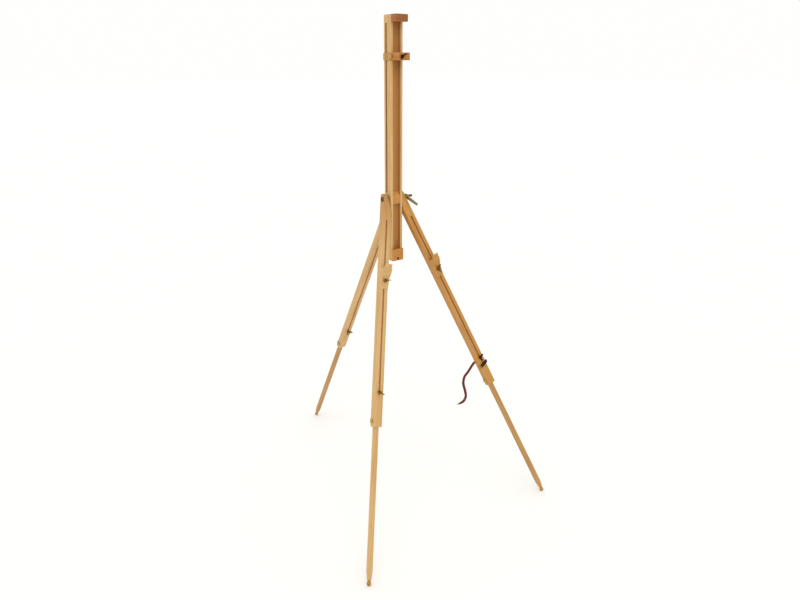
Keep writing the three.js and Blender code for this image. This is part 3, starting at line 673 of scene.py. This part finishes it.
def soften(
    piece: bpy.types.Object, width_mm: float, shortest_mm: float, skin: int = -1
) -> None:
    """Rounds a piece's sharp edges, as a maker does with sandpaper or a mould with its corners.

    Args:
        piece: The piece, in place.
        width_mm: How much of each face the rounding takes.
        shortest_mm: Edges shorter than this are left, because they only draw a curve.
        skin: The material slot of the rounded strips, or -1 for the faces' own.
    """
    mesh = piece.data
    faces_of: dict[tuple[int, int], list[int]] = {}
    for face in mesh.polygons:
        for key in face.edge_keys:
            faces_of.setdefault(key, []).append(face.index)
    weights = mesh.attributes.new("bevel_weight_edge", "FLOAT", "EDGE")
    for edge in mesh.edges:
        start, end = (mesh.vertices[i].co for i in edge.vertices)
        sides = faces_of.get(tuple(sorted(edge.vertices)), [])
        if len(sides) != 2 or (end - start).length < shortest_mm * MM:
            continue
        one, other = (mesh.polygons[i].normal for i in sides)
        if one.angle(other, 0.0) > math.radians(SHARP_DEG):
            weights.data[edge.index].value = 1.0
    rounding = piece.modifiers.new("rounding", "BEVEL")
    rounding.limit_method = "WEIGHT"
    rounding.width = width_mm * MM
    rounding.segments = 3
    rounding.use_clamp_overlap = False
    rounding.material = skin
    pick(piece)
    bpy.ops.object.modifier_apply(modifier=rounding.name)
    bpy.ops.object.shade_smooth_by_angle(angle=math.radians(SHARP_DEG))


def hand_over(piece: bpy.types.Object, node: str) -> bpy.types.Object:
    """Puts a finished piece in the place of its node.

    Args:
        piece: The piece, in place.
        node: The node that it stands for.

    Returns:
        The piece.
    """
    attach(piece, BODY_OF[node])
    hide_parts(node)
    LOG.info("%s rides on %s", piece.name, BODY_OF[node])
    return piece


@dataclass
class Timber:
    """One piece of wood, planed, rounded and oiled.

    Attributes:
        node: The node that gives its shape.
        wood: Its finish.
        grain: Which way it was sawn.
        slot: A material slot's name; it is not used.
        arris_mm: How much its edges are rounded.
        shortest_mm: The shortest edge that is rounded.
        slot_mm: How near its middle and how far from it a cut wall is a slot's, not a groove's.
    """

    node: str
    wood: Wood
    grain: Grain
    slot: str = "beech"
    arris_mm: float = 0.7
    shortest_mm: float = 3.0
    slot_mm: tuple[float, float] | None = None

    def make(self) -> bpy.types.Object:
        """Builds the piece and puts it in place.

        Returns:
            The piece.
        """
        piece = drawn_copy(self.node, f"{self.node}_timber")
        low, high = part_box(self.node)
        for skin in Skin:
            made = self.wood.material(self.node, skin, self.grain, (low + high) / 2)
            piece.data.materials.append(made)
        soften(piece, self.arris_mm, self.shortest_mm, skin=Skin.ARRIS.value)
        self.mark_skins(piece)
        return hand_over(piece, self.node)

    def mark_skins(self, piece: bpy.types.Object) -> None:
        """Tells end grain and the walls of grooves and slots from the planed faces.

        Args:
            piece: The rounded piece, on which all of them still have the face's finish.
        """
        turn = self.grain.turn()
        points = [turn @ vertex.co for vertex in piece.data.vertices]
        low = Vector([min(p[i] for p in points) for i in range(3)])
        high = Vector([max(p[i] for p in points) for i in range(3)])
        for face in piece.data.polygons:
            if face.material_index != Skin.FACE.value:
                continue
            centre, normal = turn @ face.center, turn @ face.normal
            inner = all(
                low[i] + under * MM < centre[i] < high[i] - under * MM
                for i, under in enumerate(UNDER_MM)
            )
            across_fibres, side_wall = abs(normal.z) > 0.8, abs(normal.y) < 0.5
            if across_fibres:
                face.material_index = Skin.END_GRAIN.value
            elif self.slot_mm and inner:
                off = abs(centre.x - (low.x + high.x) / 2) / MM
                near, far = self.slot_mm
                deep = near <= off <= far and (near > 0 or side_wall)
                face.material_index = (Skin.SLOT if deep else Skin.GROOVE).value


@dataclass
class Fitting:
    """One metal piece, turned, cast or pressed.

    Attributes:
        node: The node that gives its shape.
        metal: Its finish.
        slot: A material slot's name; it is not used.
        edge_mm: How much its edges are rounded.
        shortest_mm: The shortest edge that is rounded.
        hub: Another finish for what lies within so many mm of the head bolt's middle.
    """

    node: str
    metal: Metal
    slot: str
    edge_mm: float = 0.25
    shortest_mm: float = 0.3
    hub: tuple[Metal, float] | None = None

    def make(self, materials: dict[str, bpy.types.Material]) -> bpy.types.Object:
        """Builds the piece and puts it in place.

        Args:
            materials: The metals made so far, by name.

        Returns:
            The piece.
        """
        piece = drawn_copy(self.node, f"{self.node}_metal")
        for finish in [self.metal, self.hub[0]] if self.hub else [self.metal]:
            if finish.name not in materials:
                materials[finish.name] = finish.material()
            piece.data.materials.append(materials[finish.name])
        soften(piece, self.edge_mm, self.shortest_mm)
        if self.hub:
            low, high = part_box("head_bolt")
            middle = (low + high) / 2
            for face in piece.data.polygons:
                off = face.center - middle
                if math.hypot(off.y, off.z) < self.hub[1] * MM:
                    face.material_index = 1
        return hand_over(piece, self.node)


@dataclass
class SubAssembly:
    """Pieces that are made and fitted together.

    Attributes:
        timbers: Its wooden pieces.
        fittings: Its metal pieces.
    """

    timbers: list[Timber] = field(default_factory=list)
    fittings: list[Fitting] = field(default_factory=list)

    def build(self, materials: dict[str, bpy.types.Material]) -> None:
        """Makes every piece.

        Args:
            materials: The metals made so far, by name, which this adds to.
        """
        for timber in self.timbers:
            timber.make()
        for fitting in self.fittings:
            fitting.make(materials)


@dataclass
class Mast(SubAssembly):
    """The slotted mast with its three blocks and the bracket of the rear leg."""

    def __post_init__(self) -> None:
        """Lists the mast's pieces."""
        across = Grain(PAINTER, Vector((-1, 0, 0)), (20.0, 30.0), 0.3)
        self.timbers = [
            Timber("mast", BEECH, Grain(UP, PAINTER, (55.0, 40.0), 0.1), slot_mm=(14.7, 40.0)),
            Timber("top_block", AMBER_BEECH, across, "amber_beech", 0.8),
            Timber("end_block", HONEY_BEECH, replace(across, seed=0.7), "amber_beech", 0.8),
            Timber("head_block", HONEY_BEECH, replace(across, seed=1.1), "amber_beech", 0.6),
        ]
        self.fittings = [
            Fitting("rear_bracket", BRASS, "brass"),
            Fitting("rear_bracket_screw_upper", BRASS, "brass"),
            Fitting("rear_bracket_screw_lower", BRASS, "brass"),
            Fitting("rear_pivot_bolt", OLD_BRASS, "dark_brass"),
            Fitting("rear_pivot_nut", OLD_BRASS, "dark_brass"),
            Fitting("end_block_screw", SHADE_BLACK_BRASS, "dark_brass"),
        ]


@dataclass
class Clip(SubAssembly):
    """The sliding clip that holds the top of a canvas or board."""

    def __post_init__(self) -> None:
        """Lists the clip's pieces."""
        across = Grain(PAINTER, Vector((-1, 0, 0)), (25.0, 18.0), 2.3)
        upright = Grain(UP, Vector((-1, 0, 0)), (30.0, 40.0), 2.9)
        self.timbers = [
            Timber("clip_jaw", CLIP_BEECH, across, "amber_beech", 0.8),
            Timber("clip_cheek_left", PALE_RED_BEECH, upright, arris_mm=0.6),
            Timber("clip_cheek_right", PALE_RED_BEECH, replace(upright, seed=3.3), arris_mm=0.6),
        ]
        self.fittings = [
            Fitting("clip_cross_bolt", PALE_BRASS, "dark_brass"),
            Fitting("clip_cross_nut", OLD_BRASS, "dark_brass"),
            Fitting("clip_thumb_screw", SHADE_BLACK_BRASS, "dark_brass"),
        ]


@dataclass
class HeadBolt(SubAssembly):
    """The bolt through the mast's head, with its washers and clamp lever."""

    def __post_init__(self) -> None:
        """Lists the bolt's pieces."""
        self.fittings = [
            Fitting("head_bolt", BROWNED_BRASS, "dark_brass"),
            Fitting("head_washer_left", PALE_BRASS, "dark_brass"),
            Fitting("head_washer_right", OLD_BRASS, "dark_brass"),
            Fitting("clamp_lever", ZINC, "zinc", 0.5, hub=(OLD_BRASS, 8.6)),
        ]


@dataclass
class Leg(SubAssembly):
    """One telescopic leg: a grooved stave, the rod that slides in it, and its clamp.

    Attributes:
        name: left, right or rear.
        wood: The stave's finish.
        rod_wood: The rod's finish.
        nut: The wing nut's finish.
        seed: Moves the figure of its wood.
        warm_mm: Where along the stave its tone deepens.
    """

    name: str = "rear"
    wood: Wood = BEECH
    rod_wood: Wood = BEECH
    nut: Metal = OLD_BRASS
    seed: float = 0.0
    warm_mm: tuple[float, float] = EVEN_TONE

    def __post_init__(self) -> None:
        """Lists the pieces that every leg has."""
        self.grain = Grain(
            JOINT_AXIS[f"{self.name}_rod_slide"],
            JOINT_AXIS[f"{self.name}_rod_nut_turn"],
            (48.0, 30.0),
            self.seed,
            self.warm_mm,
        )
        rod_grain = replace(
            self.grain, heart=(30.0, 52.0), seed=self.seed + 0.6, warm_mm=EVEN_TONE
        )
        self.timbers = [
            Timber(f"{self.name}_leg_stave", self.wood, self.grain, slot_mm=(0.0, 3.3)),
            Timber(f"{self.name}_rod", self.rod_wood, rod_grain, arris_mm=0.6),
        ]
        self.fittings = [
            Fitting(f"{self.name}_retainer", PALE_BRASS, "brass", 0.2),
            Fitting(f"{self.name}_retainer_screw", PALE_BRASS, "brass"),
            Fitting(f"{self.name}_ferrule", BRASS, "brass"),
            Fitting(f"{self.name}_rod_bolt", OLD_BRASS, "dark_brass"),
            Fitting(f"{self.name}_rod_washer", BRASS, "brass", 0.2),
            Fitting(f"{self.name}_rod_wing_nut", self.nut, "dark_brass", 0.4),
        ]


@dataclass
class FrontLeg(Leg):
    """A front leg, with its hinge at the mast and the ledge that a canvas stands on."""

    def __post_init__(self) -> None:
        """Adds what only the front legs have."""
        super().__post_init__()
        name = self.name
        block_grain = replace(self.grain, seed=self.seed + 1.7, warm_mm=EVEN_TONE)
        self.timbers.append(Timber(f"{name}_ledge_block", self.wood, block_grain))
        self.fittings += [
            Fitting(f"{name}_saddle_plate", ZINC, "zinc", 0.2),
            Fitting(f"{name}_hinge_pin", PALE_BRASS, "brass"),
            Fitting(f"{name}_ledge_bolt", OLD_BRASS, "dark_brass"),
            Fitting(f"{name}_ledge_washer", BRASS, "brass", 0.2),
            Fitting(f"{name}_ledge_wing_nut", OLD_BRASS, "dark_brass", 0.4),
        ]


Route = list[tuple[float, float, float, float, float, float]]
# The strap's middle line and the way its grain side looks: across the right leg's front, round
# its right side and back, and off to the left.
STRAP_ROUTE: Route = [
    (0.2139, -0.3207, 0.4920, 0.00, -0.94, 0.35),
    (0.2177, -0.3199, 0.4941, 0.00, -0.94, 0.35),
    (0.2219, -0.3191, 0.4963, -0.00, -0.94, 0.35),
    (0.2295, -0.3180, 0.4997, -0.02, -0.94, 0.34),
    (0.2356, -0.3169, 0.5023, 0.15, -0.89, 0.44),
    (0.2362, -0.3165, 0.5027, 0.37, -0.83, 0.41),
    (0.2366, -0.3161, 0.5029, 0.67, -0.59, 0.45),
    (0.2368, -0.3156, 0.5031, 0.87, -0.25, 0.42),
    (0.2369, -0.3148, 0.5031, 0.95, -0.08, 0.30),
    (0.2368, -0.3053, 0.5012, 0.95, 0.11, 0.28),
    (0.2360, -0.2960, 0.4991, 0.92, 0.28, 0.26),
    (0.2357, -0.2952, 0.4990, 0.89, 0.45, 0.10),
    (0.2354, -0.2947, 0.4990, 0.67, 0.74, -0.05),
    (0.2349, -0.2944, 0.4990, 0.36, 0.91, -0.19),
    (0.2341, -0.2942, 0.4989, 0.18, 0.92, -0.34),
    (0.2275, -0.2944, 0.4982, -0.02, 0.94, -0.35),
    (0.2189, -0.2948, 0.4974, 0.02, 0.94, -0.35),
    (0.2108, -0.2947, 0.4981, -0.01, 0.94, -0.35),
    (0.2031, -0.2942, 0.4974, 0.23, 0.93, -0.28),
    (0.1957, -0.2926, 0.4899, 0.41, 0.90, -0.11),
    (0.1891, -0.2912, 0.4804, 0.34, 0.92, -0.21),
    (0.1826, -0.2911, 0.4732, 0.27, 0.92, -0.28),
    (0.1761, -0.2912, 0.4664, 0.30, 0.92, -0.26),
    (0.1690, -0.2908, 0.4606, 0.28, 0.92, -0.28),
    (0.1631, -0.2902, 0.4544, 0.40, 0.91, -0.13),
    (0.1607, -0.2891, 0.4461, 0.46, 0.89, 0.06),
    (0.1601, -0.2882, 0.4374, 0.45, 0.89, 0.01),
    (0.1597, -0.2881, 0.4315, 0.45, 0.89, -0.02),
    (0.1601, -0.2882, 0.4254, 0.44, 0.89, 0.06),
    (0.1626, -0.2882, 0.4157, 0.42, 0.90, 0.14),
    (0.1661, -0.2882, 0.4054, 0.43, 0.90, 0.13),
    (0.1693, -0.2882, 0.3957, 0.42, 0.90, 0.14),
    (0.1721, -0.2882, 0.3864, 0.43, 0.90, 0.10),
    (0.1738, -0.2880, 0.3797, 0.43, 0.90, 0.11),
    (0.1741, -0.2882, 0.3734, 0.43, 0.89, -0.15),
    (0.1715, -0.2891, 0.3669, 0.34, 0.87, -0.36),
    (0.1671, -0.2902, 0.3614, 0.27, 0.85, -0.45),
    (0.1619, -0.2907, 0.3583, 0.15, 0.84, -0.52),
    (0.1561, -0.2912, 0.3564, 0.07, 0.84, -0.55),
    (0.1502, -0.2916, 0.3555, -0.02, 0.83, -0.56),
    (0.1441, -0.2922, 0.3554, -0.10, 0.82, -0.56),
    (0.1367, -0.2931, 0.3562, -0.20, 0.81, -0.55),
    (0.1291, -0.2942, 0.3574, -0.18, 0.81, -0.55),
]


def run_of(points: list[Vector]) -> list[float]:
    """Measures a line.

    Args:
        points: The line's points, in order.

    Returns:
        How far along the line each of them is, in metres.
    """
    lengths = [0.0]
    for one, other in zip(points, points[1:]):
        lengths.append(lengths[-1] + (other - one).length)
    return lengths


def along_and_out(points: list[Vector], looks: list[Vector], i: int) -> tuple[Vector, Vector]:
    """Works out how a strip lies at one point of its line.

    Args:
        points: The points along its middle.
        looks: Roughly the way its grain side looks at each.
        i: Which point.

    Returns:
        The way the strip runs there, and the way its grain side looks, square to it.
    """
    ahead = (points[min(i + 1, len(points) - 1)] - points[max(i - 1, 0)]).normalized()
    return ahead, (looks[i] - ahead * looks[i].dot(ahead)).normalized()


@dataclass
class Strap(SubAssembly):
    """The leather strap that ties the folded legs together, with its buckle.

    Attributes:
        leather: Its finish.
        width_mm: Its width.
        thick_mm: Its thickness.
        corner_mm: The rounding of its cut edges.
        crown_mm: How much its grain side swells in the middle.
        reach_mm: How far it runs on round the buckle's bar.
        point_mm: The length over which its tail narrows.
        taper: What share of its width the tail loses over that length.
        undyed_mm: The length of the pale tip.
        steps: Cross-sections between two points of its route.
        fold_mm: The thickness of its doubled end.
        doubled_mm: The length of its doubled end.
        spread_mm: How much wider than the strap its doubled end is.
        gap_mm: The air between the strap and its doubled end.
        keeper_at_mm: How far along the keeper sits.
        keeper_mm: The keeper's width and thickness.
        room_mm: The room inside the keeper beside and above the strap.
        keeper_turns: How many straight runs the keeper is bent from.
        square: How square the keeper is, from 1 for an oval down to 0 for a box.
        bend_deg: Sides of the leather that bend less than this are shaded as one.
        holes: How many holes are punched in its tail.
        hole_mm: The holes' width.
        hole_gap_mm: The distance between holes.
        first_hole_mm: The distance from the tip to the first hole.
        hides: The leather's sides, once they are made.
    """

    leather: Leather = BRIDLE
    width_mm: float = 9.0
    thick_mm: float = 2.0
    corner_mm: float = 0.55
    crown_mm: float = 0.12
    reach_mm: float = 3.2
    point_mm: float = 30.0
    taper: float = 0.5
    undyed_mm: float = 9.0
    steps: int = 4
    fold_mm: float = 1.8
    doubled_mm: float = 30.0
    spread_mm: float = 1.4
    gap_mm: float = 0.15
    keeper_at_mm: float = 14.0
    keeper_mm: tuple[float, float] = (4.5, 1.1)
    room_mm: tuple[float, float] = (1.5, 0.7)
    keeper_turns: int = 24
    square: float = 0.35
    bend_deg: float = 40.0
    holes: int = 5
    hole_mm: float = 2.2
    hole_gap_mm: float = 15.0
    first_hole_mm: float = 42.0
    hides: dict[Hide, bpy.types.Material] = field(default_factory=dict)

    def __post_init__(self) -> None:
        """Lists the strap's metal pieces."""
        self.fittings = [
            Fitting("strap_buckle", BRASS, "brass"),
            Fitting("strap_screw", BRASS, "brass"),
        ]

    def line(self) -> tuple[list[Vector], list[Vector]]:
        """Smooths the route into a curve through every one of its points.

        Returns:
            The points along the strap's middle, and the way its grain side looks at each.
        """
        knots = [Vector(row[:3]) for row in STRAP_ROUTE]
        looks = [Vector(row[3:]) for row in STRAP_ROUTE]
        first = (knots[0] - knots[1]).normalized()
        knots.insert(0, knots[0] + first * self.reach_mm * MM)
        looks.insert(0, looks[0])
        points, faces = [], []
        last = len(knots) - 1
        for i in range(last):
            before, after = knots[max(i - 1, 0)], knots[min(i + 2, last)]
            for k in range(self.steps):
                t = k / self.steps
                points.append(
                    0.5
                    * (
                        2 * knots[i]
                        + (knots[i + 1] - before) * t
                        + (2 * before - 5 * knots[i] + 4 * knots[i + 1] - after) * t * t
                        + (3 * knots[i] - before - 3 * knots[i + 1] + after) * t * t * t
                    )
                )
                faces.append(looks[i].lerp(looks[i + 1], t))
        return points + [knots[-1]], faces + [looks[-1]]

    def section(
        self, width_mm: float, thick_mm: float, narrow: float = 1.0
    ) -> list[tuple[float, float, Hide]]:
        """Draws a strip's cross-section.

        Args:
            width_mm: The strip's width.
            thick_mm: The strip's thickness.
            narrow: What share of its width is left, down to 0 at a rounded tip.

        Returns:
            Points across and out, in metres, and the side from each to the next.
        """
        w = max(width_mm / 2 * narrow, self.corner_mm * 1.1) * MM
        t, r = thick_mm / 2 * MM, self.corner_mm * MM
        crown = self.crown_mm * MM
        return [
            (-w + r, -t, Hide.FLESH), (0.0, -t - crown / 3, Hide.FLESH), (w - r, -t, Hide.EDGE),
            (w, -t + r, Hide.EDGE), (w, t - r, Hide.EDGE), (w - r, t, Hide.GRAIN),
            (0.0, t + crown, Hide.GRAIN), (-w + r, t, Hide.EDGE), (-w, t - r, Hide.EDGE),
            (-w, -t + r, Hide.EDGE),
        ]

    def strip(
        self,
        name: str,
        points: list[Vector],
        looks: list[Vector],
        width_mm: float,
        thick_mm: float,
        pointed: bool = False,
    ) -> bpy.types.Object:
        """Cuts a strip of leather and lays it along a line.

        Args:
            name: The piece's name.
            points: The points along its middle.
            looks: The way its grain side looks at each point.
            width_mm: Its width.
            thick_mm: Its thickness.
            pointed: Whether its far end narrows to a pale tip.

        Returns:
            The strip, with its UV map in metres.
        """
        lengths = run_of(points)
        whole, tip = lengths[-1], width_mm / 4 * MM
        taper_run = self.point_mm * MM
        vertices, uvs, rows = [], [], []
        for i, (point, look, run) in enumerate(zip(points, looks, lengths)):
            ahead, out = along_and_out(points, looks, i)
            across = out.cross(ahead)
            narrow = 1.0
            if pointed:
                past = max(0.0, run - (whole - tip)) / tip
                share = min(1.0, max(0.0, (run - (whole - taper_run)) / taper_run))
                narrow = (1 - self.taper * share) * math.sqrt(max(0.0, 1 - past * past))
            ring = self.section(width_mm, thick_mm, narrow)
            rows.append([len(vertices) + k for k in range(len(ring))])
            for a, o, _side in ring:
                vertices.append(point + across * a + out * o)
                uvs.append((a, run))
        sides = [side for _a, _o, side in self.section(width_mm, thick_mm)]
        faces, skins = [rows[0][:], rows[-1][::-1]], [Hide.EDGE, Hide.EDGE]
        for row, after, run in zip(rows, rows[1:], lengths):
            for k, side in enumerate(sides):
                n = (k + 1) % len(sides)
                faces.append([row[k], after[k], after[n], row[n]])
                pale = pointed and run > whole - self.undyed_mm * MM
                skins.append(Hide.TIP if pale else side)
        mesh = bpy.data.meshes.new(name)
        mesh.from_pydata(vertices, [], faces)
        for side in Hide:
            mesh.materials.append(self.hides[side])
        layer = mesh.uv_layers.new(name="strip")
        for face, skin in zip(mesh.polygons, skins):
            face.material_index = skin.value
            for loop in face.loop_indices:
                layer.data[loop].uv = uvs[mesh.loops[loop].vertex_index]
        piece = bpy.data.objects.new(name, mesh)
        bpy.context.scene.collection.objects.link(piece)
        pick(piece)
        bpy.ops.object.mode_set(mode="EDIT")
        bpy.ops.mesh.select_all(action="SELECT")
        bpy.ops.mesh.normals_make_consistent(inside=False)
        bpy.ops.object.mode_set(mode="OBJECT")
        return piece

    def build(self, materials: dict[str, bpy.types.Material]) -> None:
        """Makes the strap, its doubled end and keeper, and its metal pieces.

        Args:
            materials: The metals made so far, by name.
        """
        super().build(materials)
        self.hides = {side: self.leather.material(side) for side in Hide}
        points, looks = self.line()
        band = self.strip(
            "leather_strap_band", points, looks, self.width_mm, self.thick_mm, pointed=True
        )
        self.punch(band, points, looks)
        doubled = self.doubled_end(points, looks)
        keeper = self.keeper(points, looks)
        for piece in (band, doubled, keeper):
            pick(piece)
            bpy.ops.object.shade_smooth_by_angle(angle=math.radians(self.bend_deg))
            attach(piece, "right_leg")
        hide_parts("leather_strap")

    def doubled_end(self, points: list[Vector], looks: list[Vector]) -> bpy.types.Object:
        """Lays the end that is turned back over the buckle's bar on top of the strap.

        Args:
            points: The points along the strap's middle.
            looks: The way its grain side looks at each point.

        Returns:
            The doubled end.
        """
        lift = (self.thick_mm / 2 + self.fold_mm / 2 + self.gap_mm) * MM
        runs = run_of(points)
        top, tops = [], []
        for i, run in enumerate(runs):
            if run > self.doubled_mm * MM:
                break
            out = along_and_out(points, looks, i)[1]
            top.append(points[i] + out * lift)
            tops.append(looks[i])
        width = self.width_mm + self.spread_mm
        return self.strip("leather_strap_doubled_end", top, tops, width, self.fold_mm)

    def keeper(self, points: list[Vector], looks: list[Vector]) -> bpy.types.Object:
        """Makes the loop that holds the doubled end down.

        Args:
            points: The points along the strap's middle.
            looks: The way its grain side looks at each point.

        Returns:
            The keeper.
        """
        runs = run_of(points)
        i = min(range(len(points)), key=lambda k: abs(runs[k] - self.keeper_at_mm * MM))
        ahead, out = along_and_out(points, looks, i)
        across = out.cross(ahead)
        middle = points[i] + out * (self.fold_mm / 2) * MM
        beside, above = self.room_mm
        half = (self.width_mm / 2 + beside, (self.thick_mm + self.fold_mm) / 2 + above)
        ring, looks_out = [], []
        for k in range(self.keeper_turns + 1):
            angle = math.tau * k / self.keeper_turns
            c, n = math.cos(angle), math.sin(angle)
            # A squared-off oval, the shape that leather takes when it is pulled round a strap.
            x, y = (math.copysign(abs(part) ** self.square, part) for part in (c, n))
            ring.append(middle + (across * x * half[0] + out * y * half[1]) * MM)
            looks_out.append((across * c * half[1] + out * n * half[0]).normalized())
        return self.strip("leather_strap_keeper", ring, looks_out, *self.keeper_mm)

    def punch(
        self, band: bpy.types.Object, points: list[Vector], looks: list[Vector]
    ) -> None:
        """Punches the row of buckle holes near the tip.

        Args:
            band: The strap.
            points: The points along its middle.
            looks: The way its grain side looks at each point.
        """
        lengths = run_of(points)
        for number in range(self.holes):
            at = lengths[-1] - (self.first_hole_mm + number * self.hole_gap_mm) * MM
            i = min(range(len(points)), key=lambda k: abs(lengths[k] - at))
            out = along_and_out(points, looks, i)[1]
            bpy.ops.object.select_all(action="DESELECT")
            bpy.ops.mesh.primitive_cylinder_add(
                vertices=16,
                radius=self.hole_mm / 2 * MM,
                depth=4 * self.thick_mm * MM,
                location=points[i],
                rotation=out.to_track_quat("Z", "Y").to_euler(),
            )
            cutter = bpy.context.active_object
            hole = band.modifiers.new("hole", "BOOLEAN")
            hole.operation = "DIFFERENCE"
            hole.solver = "EXACT"
            hole.object = cutter
            pick(band)
            bpy.ops.object.modifier_apply(modifier=hole.name)
            bpy.data.objects.remove(cutter)


@dataclass
class Studio:
    """The pale floor, the soft lights and the camera.

    Attributes:
        eye: Where the camera stands, in metres.
        yaw: How far it is turned from +Y towards +X, in radians.
        pitch: How far it looks down, in radians.
        roll: How far it leans, in radians.
        lens_mm: Its focal length.
        sensor_mm: The width of its sensor.
        floor_m: The floor's side.
    """

    eye: tuple[float, float, float] = (-1.2309, -1.7598, 1.4613)
    yaw: float = 0.64725
    pitch: float = 0.34562
    roll: float = 0.00171
    lens_mm: float = 28.862
    sensor_mm: float = 36.0
    floor_m: float = 160.0

    def set_camera(self) -> None:
        """Makes the camera and has the scene look through it."""
        data = bpy.data.cameras.new("studio_camera")
        data.sensor_width = self.sensor_mm
        data.lens = self.lens_mm
        data.clip_start, data.clip_end = 0.05, 400.0
        camera = bpy.data.objects.new("studio_camera", data)
        ahead = Vector(
            (
                math.sin(self.yaw) * math.cos(self.pitch),
                math.cos(self.yaw) * math.cos(self.pitch),
                -math.sin(self.pitch),
            )
        )
        right = ahead.cross(UP).normalized()
        over = right.cross(ahead)
        x = right * math.cos(self.roll) + over * math.sin(self.roll)
        y = over * math.cos(self.roll) - right * math.sin(self.roll)
        turn = Matrix((x, y, -ahead)).transposed().to_4x4()
        camera.matrix_world = Matrix.Translation(Vector(self.eye)) @ turn
        bpy.context.scene.collection.objects.link(camera)
        bpy.context.scene.camera = camera

    def set_lights(self) -> None:
        """Makes an even white surround and one broad key light, high on the left."""
        scene = bpy.context.scene
        world = bpy.data.worlds.new("studio_surround")
        world.use_nodes = True
        world.node_tree.nodes.clear()
        sky = add_node(
            world.node_tree, "Background", {"Color": (1.0, 0.995, 0.985, 1.0), "Strength": 1.0}
        )
        add_node(world.node_tree, "OutputWorld", {"Surface": sky.outputs["Background"]})
        scene.world = world
        scene.view_settings.view_transform = "Standard"
        for name, power, angle, aim in (
            ("key_light", 0.6, 55.0, (1.0, 1.6, -1.9)),
            ("fill_light", 0.1, 70.0, (-1.0, -1.2, -1.2)),
        ):
            lamp = bpy.data.lights.new(name, "SUN")
            lamp.energy = power
            lamp.angle = math.radians(angle)
            light = bpy.data.objects.new(name, lamp)
            light.rotation_euler = Vector(aim).to_track_quat("-Z", "Y").to_euler()
            scene.collection.objects.link(light)

    def set_floor(self) -> None:
        """Lays a plain pale floor."""
        bpy.ops.object.select_all(action="DESELECT")
        bpy.ops.mesh.primitive_plane_add(size=self.floor_m)
        floor = bpy.context.active_object
        floor.name = "studio_floor"
        material, shader = new_material("matt_white_paint")
        set_sockets(shader, {"Base Color": linear("#F4F3F0"), "Roughness": 0.9})
        floor.data.materials.append(material)


def main() -> None:
    """Builds the studio and the easel, in the order that they are put together."""
    logging.basicConfig(level=logging.INFO, format="%(name)s: %(message)s")
    studio = Studio()
    studio.set_camera()
    studio.set_lights()
    studio.set_floor()
    materials: dict[str, bpy.types.Material] = {}
    for part in (
        Strap(),
        Mast(),
        Clip(),
        HeadBolt(),
        FrontLeg(name="left", seed=0.4, warm_mm=(180.0, 330.0)),
        # The right leg's wing nut is nearly black: painted shade for the side away from the light.
        FrontLeg(name="right", wood=RED_BEECH, rod_wood=PALE_RED_BEECH, nut=SHADE_BLACK_BRASS, seed=1.9),
        Leg(name="rear", wood=BEECH, rod_wood=PALE_RED_BEECH, seed=3.1),
    ):
        part.build(materials)
        LOG.info("%s is built", type(part).__name__)


if __name__ == "__main__":
    main()
